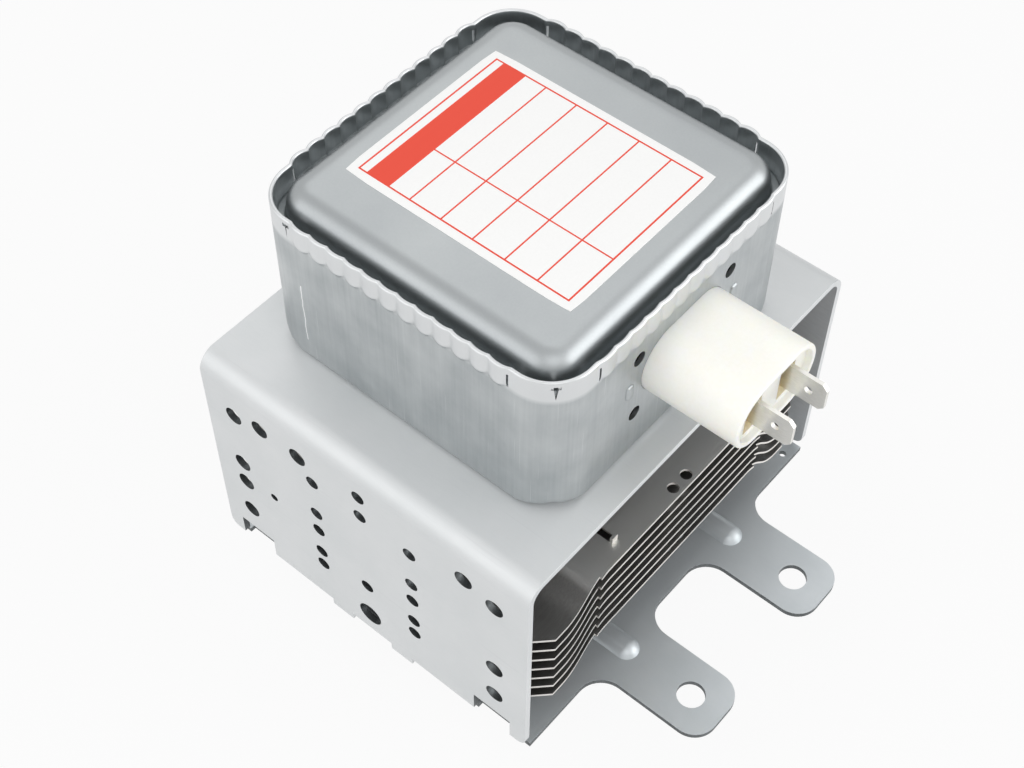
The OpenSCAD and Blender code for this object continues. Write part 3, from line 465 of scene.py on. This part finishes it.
# where the pierced holes and the inside of the sheets lie, in mm
sheetMarks = {
    "wallX": (46.2, 47.4), "wallY": 39, "wallZ": (2.6, 52), "insideX": -9, "roofZ": 50,
    "plateZ": (0.05, 1.15), "across": 0.3,
}


def yokeFaces(c, n):
    (nearX, farX), (lowZ, highZ) = sheetMarks["wallX"], sheetMarks["wallZ"]
    inWall = nearX < abs(c.x) < farX and abs(c.y) < sheetMarks["wallY"] and lowZ < c.z < highZ
    # hole walls and sheared edges: the dull break tone, with painted shade
    if inWall and abs(n.x) < sheetMarks["across"]:
        return 1
    # faces under the roof and facing inwards get the painted shade tone
    underRoof = n.z < -sheetMarks["across"] and c.z > sheetMarks["roofZ"]
    return 2 if underRoof or n.x * c.x < sheetMarks["insideX"] else 0


def plateFaces(c, n):
    lowZ, highZ = sheetMarks["plateZ"]
    return int(abs(n.z) < sheetMarks["across"] and lowZ < c.z < highZ)


# sheet pieces keep the CAD outline and get sheared, slightly broken edges
sheetPieces = {
    "yokeSheet": ("yoke", "zinc_steel", (zincSheet, cutSteelAndShade, paintedShadeZinc), yokeFaces, 0.16),
    "mountingPlate": ("mounting_plate", "plate_steel", (bluishZinc, cutSteelAndShade), plateFaces, 0.16),
    "tabLeft": ("terminal_left", "tin_plate", (tinnedBrass,), allOver, 0.12),
    "tabRight": ("terminal_right", "tin_plate", (tinnedBrass,), allOver, 0.12),
    "antennaCap": ("antenna_cap", "zinc_steel", (platedSteel,), allOver, 0.12),
    "gasketRing": ("gasket_retainer", "zinc_steel", (platedSteel,), allOver, 0.15),
}
for name, (nodeName, slotName, materials, pick, width) in sheetPieces.items():
    bm = mergedCopy(nodeName)
    markFaces(bm, pick)
    piece = newPiece(name, cleanMesh(name, bm), [nodeName], slotName, *materials)
    softenEdges(piece, width)
print("sheet pieces made:", len(sheetPieces))


def runTree(piece, tree, values):
    # inputs go in by identifier before the first evaluation, then the result becomes a plain mesh
    modifier = piece.modifiers.new(tree.name, "NODES")
    modifier.node_group = tree
    for item in tree.interface.items_tree:
        if item.item_type == "SOCKET" and item.in_out == "INPUT" and item.name in values:
            modifier[item.identifier] = values[item.name]
    evaluated = piece.evaluated_get(bpy.context.evaluated_depsgraph_get())
    mesh = bpy.data.meshes.new_from_object(evaluated)
    piece.modifiers.remove(modifier)
    return mesh


def newTree(name, inputs):
    tree = bpy.data.node_groups.new(name, "GeometryNodeTree")
    tree.interface.new_socket("Geometry", in_out="INPUT", socket_type="NodeSocketGeometry")
    for label, kind in inputs:
        tree.interface.new_socket(label, in_out="INPUT", socket_type=kind)
    tree.interface.new_socket("Geometry", in_out="OUTPUT", socket_type="NodeSocketGeometry")
    return tree, addNode(tree, "NodeGroupInput")


# cooling fins: one bent blank with rounded folds, stacked
fins = {
    "count": 7, "pitch": 3.45, "edge": 0.2, "foldIn": 26.0, "foldOut": 33.0, "drop": 7.0,
    "foldRound": 2.6, "meanSteps": 10, "cuts": 22, "cutMargin": 0.3, "edgeSlope": 0.25,
}
finNames = [f"fin_{i + 1}" for i in range(fins["count"])]


def foldLine(x):
    run = (abs(x) - fins["foldIn"]) / (fins["foldOut"] - fins["foldIn"])
    return -fins["drop"] * min(max(run, 0), 1)


def foldCurve(x):
    # running mean of the straight folds
    steps = fins["meanSteps"]
    count = 2 * steps + 1
    return sum(foldLine(x + fins["foldRound"] * (k / steps - 1)) for k in range(count)) / count


bm = mergedCopy("fin_1")
firstCut = fins["foldIn"] - fins["foldRound"] - fins["cutMargin"]
cutStep = (fins["foldOut"] + fins["foldRound"] + fins["cutMargin"] - firstCut) / fins["cuts"]
for s in (-1, 1):
    for i in range(fins["cuts"] + 1):
        bmesh.ops.bisect_plane(
            bm, geom=bm.verts[:] + bm.edges[:] + bm.faces[:], dist=1e-7,
            plane_co=(s * (firstCut + cutStep * i) * mm, 0, 0), plane_no=(1, 0, 0),
        )
markFaces(bm, lambda c, n: int(abs(n.z) < fins["edgeSlope"]))
edgeFaces = [face.material_index == 1 for face in bm.faces]
for vert in bm.verts:
    x = abs(vert.co.x) / mm
    vert.co.z += (foldCurve(x) - foldLine(x)) * mm
blankMesh = cleanMesh("finBlank", bm)
blankMesh.attributes.new("cutEdge", "BOOLEAN", "FACE").data.foreach_set("value", edgeFaces)
finBlank = linkObject("finBlank", blankMesh)
softenEdges(finBlank, fins["edge"])
finTree, given = newTree("finStack", [
    ("Fin Blank", "NodeSocketObject"), ("Fin Count", "NodeSocketInt"),
    ("Fin Pitch", "NodeSocketFloat"), ("Fin Material", "NodeSocketMaterial"),
    ("Edge Material", "NodeSocketMaterial"),
])
step = addNode(finTree, "ShaderNodeCombineXYZ", {"Z": given.outputs["Fin Pitch"]})
levels = addNode(
    finTree, "GeometryNodeMeshLine", {"Count": given.outputs["Fin Count"], "Offset": step.outputs[0]},
)
blank = addNode(finTree, "GeometryNodeObjectInfo", {"Object": given.outputs["Fin Blank"]})
stack = addNode(
    finTree, "GeometryNodeInstanceOnPoints",
    {"Points": levels.outputs[0], "Instance": blank.outputs["Geometry"]},
)
solid = addNode(finTree, "GeometryNodeRealizeInstances", {"Geometry": stack.outputs[0]})
painted = addNode(
    finTree, "GeometryNodeSetMaterial",
    {"Geometry": solid.outputs[0], "Material": given.outputs["Fin Material"]},
)
onEdge = addNode(finTree, "GeometryNodeInputNamedAttribute", {"Name": "cutEdge"}, data_type="BOOLEAN")
edged = addNode(
    finTree, "GeometryNodeSetMaterial",
    {"Geometry": painted.outputs[0], "Selection": onEdge.outputs[0],
     "Material": given.outputs["Edge Material"]},
)
addNode(finTree, "NodeGroupOutput", {"Geometry": edged.outputs[0]})
carrier = linkObject("finCarrier", bpy.data.meshes.new("finCarrier"))
finMesh = runTree(carrier, finTree, {
    "Fin Blank": finBlank, "Fin Count": fins["count"],
    "Fin Pitch": fins["pitch"] * mm, "Fin Material": finStock, "Edge Material": finEdge,
})
bpy.data.objects.remove(carrier)
bpy.data.objects.remove(finBlank)
newPiece("coolingFins", finMesh, finNames, "fin_aluminium")
print("fins stacked:", fins["count"])


# drawn box with its crimped rim, lofted round a rounded square
box = {
    "halfX": 34.4, "halfY": 34.3, "corner": 8.8, "floor": 57.0, "rimLow": 87.0, "rimTop": 93.0,
    "wall": 0.8, "footRound": 2.0, "footCorner": 1.2, "lobes": 12, "lobePitch": 3.95, "lobeRadius": 3.7,
    "zoneLift": 0.35, "lobeSteps": 10, "cornerSteps": 18, "sideSoft": (1, 1, 0.6, 0.45), "flange": 7,
    "wallRings": (63, 69, 75, 81), "rimRings": (0, 0.3, 0.6, 0.9, 1.2, 1.5, 1.8, 2.2, 2.8, 3.6, 4.6),
    "innerRing": 75, "crimpStart": 0.2, "crimpArch": 1.1, "crimpBlend": 1.1, "cuspFrom": 1.4,
    "cuspSnap": 0.999,
}
tiny = 1e-6


def roundedPath(halfX, halfY, radius, marks, cornerSteps):
    # four sides, counter-clockwise; marks: places along a side, in mm from its middle
    points = []
    sides = [((1, 0), (0, 1), halfX, halfY), ((0, 1), (-1, 0), halfY, halfX),
             ((-1, 0), (0, -1), halfX, halfY), ((0, -1), (1, 0), halfY, halfX)]
    for side, (normal, along, half, reach) in enumerate(sides):
        straight = reach - radius
        most = straight + radius * math.pi / 4
        first, last = marks[0], marks[-1]
        ts = [-most + (first + most) * i / cornerSteps for i in range(cornerSteps)]
        ts += marks
        ts += [last + (most - last) * i / cornerSteps for i in range(1, cornerSteps)]
        for t in ts:
            bend = max(abs(t) - straight, 0) / radius
            turn = math.copysign(bend, t)
            flat = max(-straight, min(straight, t))
            n = Vector(normal) * math.cos(turn) + Vector(along) * math.sin(turn)
            p = Vector(normal) * (half - radius) + Vector(along) * flat + n * radius
            points.append((p, n, side, t))
    return points


def loft(path, profile, closed):
    # profile: (offset outwards, height) in mm
    bm = bmesh.new()
    rings = [
        [bm.verts.new(((p.x + n.x * o) * mm, (p.y + n.y * o) * mm, z * mm)) for p, n, side, t in path]
        for o, z in profile
    ]
    pairs = list(zip(rings, rings[1:])) + ([(rings[-1], rings[0])] if closed else [])
    count = len(path)
    for low, high in pairs:
        for i in range(count):
            j = (i + 1) % count
            bm.faces.new((low[i], low[j], high[j], high[i]))
    if not closed:
        bm.faces.new(rings[0][::-1])
        bm.faces.new(rings[-1])
    for face in bm.faces:
        face.smooth = True
    return bm, rings


def arc(cx, cz, radius, start, end, steps):
    angles = [math.radians(start + (end - start) * i / steps) for i in range(steps + 1)]
    return [(cx + radius * math.cos(a), cz + radius * math.sin(a)) for a in angles]


zoneEnd = box["lobes"] * box["lobePitch"] / 2
lobeMarks = [
    -zoneEnd + box["lobePitch"] * i / box["lobeSteps"] for i in range(box["lobes"] * box["lobeSteps"] + 1)
]
boxPath = roundedPath(box["halfX"], box["halfY"], box["corner"], lobeMarks, box["cornerSteps"])
foot = box["footRound"]
low, top, wall = box["rimLow"], box["rimTop"], box["wall"]
lip = wall / 2
boxProfile = [(-box["flange"], box["floor"])]
boxProfile += arc(-foot, box["floor"] + foot, foot, -90, 0, 7)
boxProfile += [(0, z) for z in box["wallRings"]]
boxProfile += [(0, low + h) for h in box["rimRings"]]
boxProfile += arc(-lip, top - lip, lip, 0, 180, 8)
boxProfile += [(-wall, low + h) for h in reversed(box["rimRings"])]
boxProfile += [(-wall, box["innerRing"]), (-wall, box["floor"] + foot)]
boxProfile += [(-foot, box["floor"] + wall), (-box["flange"], box["floor"] + wall)]
bm, rings = loft(boxPath, boxProfile, True)
# the foot's round grows towards the corners
for (o, z), ring in zip(boxProfile, rings):
    if -foot <= o and z <= box["floor"] + foot:
        for (p, n, side, t), vert in zip(boxPath, ring):
            straight = (box["halfX"] if side % 2 else box["halfY"]) - box["corner"]
            bend = max(abs(t) - straight, 0) / (box["corner"] * math.pi / 4)
            grow = 1 + box["footCorner"] * bend
            vert.co = (
                (p.x + n.x * o * grow) * mm, (p.y + n.y * o * grow) * mm,
                (box["floor"] + (z - box["floor"]) * grow) * mm,
            )
bmesh.ops.recalc_face_normals(bm, faces=bm.faces)
# crisp lines between the crimps, only on the two sides where they are pressed full
cusps = {
    k for k, (p, n, side, t) in enumerate(boxPath)
    if side < 2 and abs(t) <= zoneEnd + tiny
    and abs((t + zoneEnd) / box["lobePitch"] % 1 - 0.5) > box["cuspSnap"] / 2
}
for (oa, za), (ob, zb), ringA, ringB in zip(boxProfile, boxProfile[1:], rings, rings[1:]):
    if min(za, zb) > low + box["cuspFrom"]:
        for k in cusps:
            edge = bm.edges.get((ringA[k], ringB[k]))
            if edge:
                edge.smooth = False
boxMesh = meshFrom("filterBox", bm)
crimpReach, lobePlace, outward = [], [], []
for o, z in boxProfile:
    for p, n, side, t in boxPath:
        inZone = abs(t) <= zoneEnd + tiny
        along = ((t + zoneEnd) / box["lobePitch"] % 1) * 2 - 1 if inZone else 1
        lift = (z - low - box["crimpStart"] - box["crimpArch"] * along * along) / box["crimpBlend"]
        rise = max(0, min(1, lift))
        crimpReach.append(rise * rise * (3 - 2 * rise) * box["sideSoft"][side] if inZone else 0)
        lobePlace.append(1 if abs(along) > box["cuspSnap"] else along)
        outward += [n.x, n.y, 0]
for label, kind, values, field in (
    ("crimpReach", "FLOAT", crimpReach, "value"), ("lobePlace", "FLOAT", lobePlace, "value"),
    ("outward", "FLOAT_VECTOR", outward, "vector"),
):
    boxMesh.attributes.new(label, kind, "POINT").data.foreach_set(field, values)

crimpTree, given = newTree("rimCrimps", [
    ("Lobe Pitch", "NodeSocketFloat"), ("Lobe Radius", "NodeSocketFloat"),
    ("Zone Lift", "NodeSocketFloat"), ("Box Material", "NodeSocketMaterial"),
])
half = addNode(crimpTree, "ShaderNodeMath", {0: given.outputs["Lobe Pitch"], 1: 0.5}, operation="MULTIPLY")
across = addNode(crimpTree, "GeometryNodeInputNamedAttribute", {"Name": "lobePlace"}, data_type="FLOAT")
amount = addNode(crimpTree, "GeometryNodeInputNamedAttribute", {"Name": "crimpReach"}, data_type="FLOAT")
heading = addNode(
    crimpTree, "GeometryNodeInputNamedAttribute", {"Name": "outward"}, data_type="FLOAT_VECTOR",
)
square = addNode(
    crimpTree, "ShaderNodeMath",
    {0: given.outputs["Lobe Radius"], 1: given.outputs["Lobe Radius"]}, operation="MULTIPLY",
)
sideways = addNode(
    crimpTree, "ShaderNodeMath", {0: across.outputs[0], 1: half.outputs[0]}, operation="MULTIPLY",
)
deep = []  # height of the crimp's arc, here and at its end
for spot in (sideways, half):
    spotSquare = addNode(
        crimpTree, "ShaderNodeMath", {0: spot.outputs[0], 1: spot.outputs[0]}, operation="MULTIPLY",
    )
    rest = addNode(
        crimpTree, "ShaderNodeMath", {0: square.outputs[0], 1: spotSquare.outputs[0]}, operation="SUBTRACT",
    )
    deep.append(addNode(crimpTree, "ShaderNodeMath", {0: rest.outputs[0]}, operation="SQRT").outputs[0])
bulge = addNode(crimpTree, "ShaderNodeMath", {0: deep[0], 1: deep[1]}, operation="SUBTRACT")
lifted = addNode(
    crimpTree, "ShaderNodeMath", {0: bulge.outputs[0], 1: given.outputs["Zone Lift"]}, operation="ADD",
)
push = addNode(
    crimpTree, "ShaderNodeMath", {0: lifted.outputs[0], 1: amount.outputs[0]}, operation="MULTIPLY",
)
shift = addNode(
    crimpTree, "ShaderNodeVectorMath", {0: heading.outputs[0], "Scale": push.outputs[0]}, operation="SCALE",
)
moved = addNode(
    crimpTree, "GeometryNodeSetPosition",
    {"Geometry": given.outputs["Geometry"], "Offset": shift.outputs[0]},
)
solid = addNode(crimpTree, "GeometryNodeRealizeInstances", {"Geometry": moved.outputs[0]})
painted = addNode(
    crimpTree, "GeometryNodeSetMaterial",
    {"Geometry": solid.outputs[0], "Material": given.outputs["Box Material"]},
)
addNode(crimpTree, "NodeGroupOutput", {"Geometry": painted.outputs[0]})
boxBase = linkObject("boxBase", boxMesh)
boxBase.data = runTree(boxBase, crimpTree, {
    "Lobe Pitch": box["lobePitch"] * mm, "Lobe Radius": box["lobeRadius"] * mm,
    "Zone Lift": box["zoneLift"] * mm, "Box Material": drawnAluminium,
})

# clinched stakes on both sides of the capacitor, where the can grips the earth flange
stakes = {
    "x": 14.9, "z": 76.3, "halfW": 1.0, "halfH": 1.7, "corner": 0.7, "marks": [-0.2, 0.2], "cornerSteps": 5,
    "profile": [(0, -0.4), (0, 0.02), (-0.2, 0.28), (-0.5, 0.4)],  # inwards and out of the wall
}
stakePath = roundedPath(
    stakes["halfW"], stakes["halfH"], stakes["corner"], stakes["marks"], stakes["cornerSteps"],
)
boxTools = []
for s in (-1, 1):
    bm = loft(stakePath, stakes["profile"], False)[0]
    for vert in bm.verts:
        vert.co = (
            vert.co.x + s * stakes["x"] * mm, -vert.co.z - box["halfY"] * mm, vert.co.y + stakes["z"] * mm,
        )
    boxTools.append(("stake", bm, "UNION"))

# openings: capacitor, four side holes, rim slits and the corner gap
openings = {
    "capW": 23.4, "capH": 14.2, "capZ": 76.9, "holeX": 12.85, "holeZ": (68.5, 83.3), "holeR": 1.5,
    "slitW": 0.35, "slitLow": 88.35, "slitH": 3.2, "slitAt": 23.9, "gapHalf": 0.85, "gapTop": 92.06,
    "hookAt": -25.2, "hookHalf": 0.75, "hookTop": 92.0, "hookMouth": 0.75, "hookDeep": 3.4, "hookNeck": 0.7,
    "gapShape": ((-1, 0), (-1, 0.7), (-0.45, 0.7), (0, 3.3), (0.45, 0.7), (1, 0.7), (1, 0)),
    "frontCut": (31, 37), "rimCut": (-1.6, 2.0), "ovalSteps": 24, "holeSteps": 32,
}


def addPrism(bm, outline, normal, near, far):
    # outline in the plane across the normal, as world points; pulled from near to far
    ends = [[bm.verts.new((p + normal * d) * mm) for p in outline] for d in (near, far)]
    bm.faces.new(ends[0][::-1])
    bm.faces.new(ends[1])
    for i in range(len(outline)):
        j = (i + 1) % len(outline)
        bm.faces.new((ends[0][i], ends[0][j], ends[1][j], ends[1][i]))


bm = bmesh.new()
front = Vector((0, -1, 0))
capR = openings["capH"] / 2
capHalf = openings["capW"] / 2 - capR
oval = [
    Vector((s * capHalf + capR * math.sin(a), 0, openings["capZ"] - capR * math.cos(a)))
    for s, start in ((1, 0), (-1, math.pi))
    for a in [start + math.pi * i / openings["ovalSteps"] for i in range(openings["ovalSteps"] + 1)]
]
addPrism(bm, oval, front, *openings["frontCut"])
for x in (-openings["holeX"], openings["holeX"]):
    for z in openings["holeZ"]:
        ring = [
            Vector((x + openings["holeR"] * math.cos(a), 0, z + openings["holeR"] * math.sin(a)))
            for a in [math.tau * i / openings["holeSteps"] for i in range(openings["holeSteps"])]
        ]
        addPrism(bm, ring, front, *openings["frontCut"])
slitMarks = [openings["hookAt"], -openings["slitAt"], openings["slitAt"]]
for p, n, side, t in roundedPath(box["halfX"], box["halfY"], box["corner"], slitMarks, 1):
    beside = Vector((-n.y, n.x, 0)) * openings["slitW"] / 2
    if side == 2 and t == openings["hookAt"]:  # torn slit with a wider mouth
        wide = Vector((-n.y, n.x, 0)) * openings["hookHalf"]
        hookTop = Vector((p.x, p.y, openings["hookTop"]))
        hookLow = hookTop - Vector((0, 0, openings["hookMouth"]))
        hookEnd = hookTop - Vector((0, 0, openings["hookDeep"]))
        neck = beside * openings["hookNeck"]
        hook = [hookEnd, hookLow + neck, hookLow + wide, hookTop + wide, hookTop - wide]
        hook += [hookLow - wide, hookLow - neck]
        addPrism(bm, hook, Vector((n.x, n.y, 0)), *openings["rimCut"])
    elif abs(t) == openings["slitAt"] and not (side == 2 and t < 0):
        slitBase = Vector((p.x, p.y, openings["slitLow"]))
        slitTop = slitBase + Vector((0, 0, openings["slitH"]))
        slit = [slitBase - beside, slitBase + beside, slitTop + beside, slitTop - beside]
        addPrism(bm, slit, Vector((n.x, n.y, 0)), *openings["rimCut"])
cornerOut = Vector((-1, -1, 0)).normalized()
cornerSide = Vector((1, -1, 0)).normalized() * openings["gapHalf"]
cornerMid = Vector((box["corner"] - box["halfX"], box["corner"] - box["halfY"], openings["gapTop"]))
cornerMid += cornerOut * box["corner"]
gap = [cornerMid + cornerSide * across - Vector((0, 0, drop)) for across, drop in openings["gapShape"]]
addPrism(bm, gap, cornerOut, *openings["rimCut"])
boxTools.append(("boxCutter", bm, "DIFFERENCE"))
filterMesh = shapeWith(boxBase, boxTools)
newPiece("filterBox", filterMesh, ["filter_box"], "drawn_aluminium")
print("filter box made:", len(filterMesh.polygons), "faces")


# pressed lid: flange, tight fillet, steep side and a wide rounded edge
lid = {
    "inset": 0.7, "flange": 2.0, "sheet": 0.8, "edge": 4.6, "fillet": 0.7, "top": 94.3, "low": 87.0,
    "crownIn": 5.5, "markReach": 20, "markSteps": 12, "cornerSteps": 14,
    "lipTop": [(-0.5, 0), (-0.12, -0.05), (0, -0.2)], "lipFoot": [(0, 0.15), (-0.15, 0)],
}
lidHalfX = box["halfX"] - lid["inset"]
lidHalfY = box["halfY"] - lid["inset"]
lidMarks = [
    -lid["markReach"] + 2 * lid["markReach"] * i / lid["markSteps"] for i in range(lid["markSteps"] + 1)
]
lidPath = roundedPath(lidHalfX, lidHalfY, box["corner"] - lid["inset"], lidMarks, lid["cornerSteps"])
deck = lid["low"] + lid["sheet"]
rise = -lid["flange"]
lidProfile = [(rise - lid["crownIn"], lid["top"])]
lidProfile += arc(rise - lid["edge"], lid["top"] - lid["edge"], lid["edge"], 90, 0, 14)
lidProfile += arc(rise + lid["fillet"], deck + lid["fillet"], lid["fillet"], 180, 270, 5)
lidProfile += [(o, deck + h) for o, h in lid["lipTop"]]
lidProfile += [(o, lid["low"] + h) for o, h in lid["lipFoot"]]
lidProfile += [(rise - lid["sheet"], lid["low"])]
lidProfile += arc(rise - lid["edge"], lid["top"] - lid["edge"], lid["edge"] - lid["sheet"], 0, 90, 8)
lidProfile += [(rise - lid["crownIn"], lid["top"] - lid["sheet"])]
bm = loft(lidPath, lidProfile, False)[0]
bmesh.ops.recalc_face_normals(bm, faces=bm.faces)
newPiece("filterLid", meshFrom("filterLid", bm), ["filter_lid"], "drawn_aluminium", pressedAluminium)

# bare label: thin film with rounded corners
label = {
    "halfX": 20.1, "halfY": 25.0, "corner": 0.9, "low": 94.3, "thick": 0.12, "shoulder": 0.7, "broken": 0.05,
    "marks": [-5, 5], "cornerSteps": 4, "sharp": 30,
}
labelPath = roundedPath(
    label["halfX"], label["halfY"], label["corner"], label["marks"], label["cornerSteps"],
)
labelProfile = [
    (0, label["low"]), (0, label["low"] + label["thick"] * label["shoulder"]),
    (-label["broken"], label["low"] + label["thick"]),
]
bm = loft(labelPath, labelProfile, False)[0]
bmesh.ops.recalc_face_normals(bm, faces=bm.faces)
labelMesh = meshFrom("bareLabel", bm)
labelMesh.set_sharp_from_angle(angle=math.radians(label["sharp"]))
newPiece("bareLabel", labelMesh, ["rating_label"], "label_paper", labelFilm)
print("lid and label made")


# capacitor: outer moulding in white resin, pockets in the deeper tone
capacitor = {
    "halfW": 11.6, "halfH": 7.0, "midZ": 76.9, "back": 33.5, "mouth": 53.9, "wall": 1.1, "recess": 1.4,
    "edge": 0.45, "pocketX": 4.9, "pocketW": 4.4, "pocketH": 9.6, "pocketDeep": 6.4, "pocketOver": 1,
    "backEdge": 0.2, "lip": 0.3, "marks": [-0.5, 0.5], "cornerSteps": 16, "sharp": 35, "slack": 0.02,
    "stepSlack": 0.05, "pocketEnd": 40,
}
capEdge, mouth, capWall = capacitor["edge"], capacitor["mouth"], capacitor["wall"]
capLip, backEdge, innerEnd = capacitor["lip"], capacitor["backEdge"], mouth - capacitor["recess"]
ovalPath = roundedPath(
    capacitor["halfW"], capacitor["halfH"], capacitor["halfH"], capacitor["marks"], capacitor["cornerSteps"],
)
capProfile = [(-backEdge, capacitor["back"]), (0, capacitor["back"] + backEdge)]
capProfile += arc(-capEdge, mouth - capEdge, capEdge, 0, 90, 6)
capProfile += arc(-capWall + capLip, mouth - capLip, capLip, 90, 180, 4)
capProfile += arc(-capWall - capLip, innerEnd + capLip, capLip, 0, -90, 4)
bm = loft(ovalPath, capProfile, False)[0]
for vert in bm.verts:
    vert.co = (vert.co.x, -vert.co.z, vert.co.y + capacitor["midZ"] * mm)
bmesh.ops.recalc_face_normals(bm, faces=bm.faces)
capBase = linkObject("capacitorBase", meshFrom("capacitorBase", bm))
bm = bmesh.new()
for s in (-1, 1):
    pocket = [
        Vector((s * capacitor["pocketX"] + a * capacitor["pocketW"] / 2, 0,
                capacitor["midZ"] + b * capacitor["pocketH"] / 2))
        for a, b in ((-1, -1), (1, -1), (1, 1), (-1, 1))
    ]
    addPrism(bm, pocket, front, mouth - capacitor["pocketDeep"], mouth + capacitor["pocketOver"])
housing = shapeWith(capBase, [("pocketCutter", bm, "DIFFERENCE")])
housing.set_sharp_from_angle(angle=math.radians(capacitor["sharp"]))
# faces deep in the pockets take the painted shade tone
for face in housing.polygons:
    c = face.center / mm
    sideways = abs(abs(c.x) - capacitor["pocketX"]) - capacitor["pocketW"] / 2
    upright = abs(c.z - capacitor["midZ"]) - capacitor["pocketH"] / 2
    inward = capacitor["stepSlack"] - innerEnd < c.y < -capacitor["pocketEnd"]
    face.material_index = int(inward and max(sideways, upright) < capacitor["slack"])
newPiece("capacitorHousing", housing, ["capacitor_housing"], "cap_plastic", capResin, pocketResin)
print("capacitor made")

# what stays as CAD solids gets its own finish
innerFinish = {
    "capacitor_flange": phosphatedSteel, "capacitor_core": aluminaCeramic, "choke_coil_left": bareCopper,
    "choke_coil_right": bareCopper,
    "ferrite_rod_left": sinteredFerrite, "ferrite_rod_right": sinteredFerrite,
    "lower_magnet": sinteredFerrite, "upper_magnet": sinteredFerrite, "anode_cylinder": bareCopper,
    "anode_vanes": bareCopper, "upper_straps": bareCopper, "lower_straps": bareCopper,
    "upper_pole_piece": platedSteel, "lower_pole_piece": platedSteel, "upper_sleeve": platedSteel,
    "lower_sleeve": platedSteel, "ceramic_stem": aluminaCeramic, "cathode_lead_left": drawnTungsten,
    "cathode_lead_right": drawnTungsten, "upper_end_hat": drawnTungsten, "lower_end_hat": drawnTungsten,
    "cathode_filament": drawnTungsten, "antenna_lead": bareCopper, "antenna_ceramic": aluminaCeramic,
    "exhaust_tube": bareCopper, "rf_gasket": knittedWire,
}
for nodeName, material in innerFinish.items():
    cad[nodeName].data.materials.clear()
    cad[nodeName].data.materials.append(material)
print("inner nodes finished:", len(innerFinish))


# stage: white floor and sky, which the camera, mirrors and glass see as plain white
stage = {
    "floorZ": cadBox[0][2] - 0.0002, "floorSize": 6.0, "floorTone": "#D6D6D6", "floorGlow": 0.91,
    "skyLight": 0.54, "skySeen": 1.0,
}


def seenDirectly(tree):
    seen = addNode(tree, "ShaderNodeLightPath")
    mirrored = addNode(
        tree, "ShaderNodeMath", {0: seen.outputs["Is Camera Ray"], 1: seen.outputs["Is Glossy Ray"]},
        operation="MAXIMUM",
    )
    through = addNode(
        tree, "ShaderNodeMath", {0: mirrored.outputs[0], 1: seen.outputs["Is Transmission Ray"]},
        operation="MAXIMUM",
    )
    return through.outputs[0]


bpy.ops.mesh.primitive_plane_add(size=stage["floorSize"], location=(0, 0, stage["floorZ"]))
floor = bpy.context.object
floor.name = "studioFloor"
floorMaterial = bpy.data.materials.new("studioFloor")
floorMaterial.use_nodes = True
tree = floorMaterial.node_tree
tree.nodes.clear()
matt = addNode(tree, "ShaderNodeBsdfDiffuse", {"Color": linearColor(stage["floorTone"])})
glow = addNode(tree, "ShaderNodeEmission", {"Strength": 1.0})
share = addNode(
    tree, "ShaderNodeMath", {0: seenDirectly(tree), 1: stage["floorGlow"]}, operation="MULTIPLY",
)
mixed = addNode(tree, "ShaderNodeMixShader", {0: share.outputs[0], 1: matt.outputs[0], 2: glow.outputs[0]})
addNode(tree, "ShaderNodeOutputMaterial", {"Surface": mixed.outputs[0]})
floor.data.materials.append(floorMaterial)

world = bpy.data.worlds.new("studioSky")
bpy.context.scene.world = world
world.use_nodes = True
tree = world.node_tree
tree.nodes.clear()
lightSky = addNode(tree, "ShaderNodeBackground", {"Strength": stage["skyLight"]})
seenSky = addNode(tree, "ShaderNodeBackground", {"Strength": stage["skySeen"]})
mixed = addNode(
    tree, "ShaderNodeMixShader", {0: seenDirectly(tree), 1: lightSky.outputs[0], 2: seenSky.outputs[0]},
)
addNode(tree, "ShaderNodeOutputWorld", {"Surface": mixed.outputs[0]})

# place in metres, size, power in watts, seen in reflections; all aim at the middle of the part
softBoxes = {
    "keyBack": ((0.365, 0.455, 0.80), 0.45, 0.42, True),
    "overPlate": ((0.42, 0.05, 0.90), 0.4, 0.30, True),
    "sideLeft": ((-0.75, 0.35, 0.45), 0.8, 1.6, True),
    "frontRight": ((0.45, -0.75, 0.40), 0.8, 3.8, True),
    "overLens": ((-0.39, -0.47, 0.80), 0.6, 0.9, True),
    "frontFill": ((-0.55, -0.60, 0.35), 0.9, 2.2, False),
    "leftFill": ((-0.36, 0.12, 0.92), 0.5, 2.1, False),
}
aim = Vector((0, 0, 0.045))
for name, (spot, size, power, mirrors) in softBoxes.items():
    lamp = bpy.data.lights.new(name, "AREA")
    lamp.shape = "SQUARE"
    lamp.size = size
    lamp.energy = power
    lampObject = linkObject(name, lamp)
    lampObject.location = spot
    lampObject.visible_glossy = mirrors
    lampObject.rotation_euler = (aim - Vector(spot)).to_track_quat("-Z", "Y").to_euler()

view = {
    "spot": (-0.16332, -0.13138, 0.30510), "look": (0.47291, 0.39085, -0.78968),
    "roll": 0.0114, "lens": 60.54, "sensor": 36, "nearest": 0.01,
}
camera = bpy.data.cameras.new("photoView")
camera.sensor_width = view["sensor"]
camera.sensor_fit = "HORIZONTAL"
camera.lens = view["lens"]
camera.clip_start = view["nearest"]
cameraObject = linkObject("photoView", camera)
cameraObject.location = view["spot"]
turned = Vector(view["look"]).to_track_quat("-Z", "Y") @ Quaternion((0, 0, 1), view["roll"])
cameraObject.rotation_euler = turned.to_euler()
bpy.context.scene.camera = cameraObject
bpy.context.scene.view_settings.view_transform = "Standard"
print("stage, lamps and camera set")
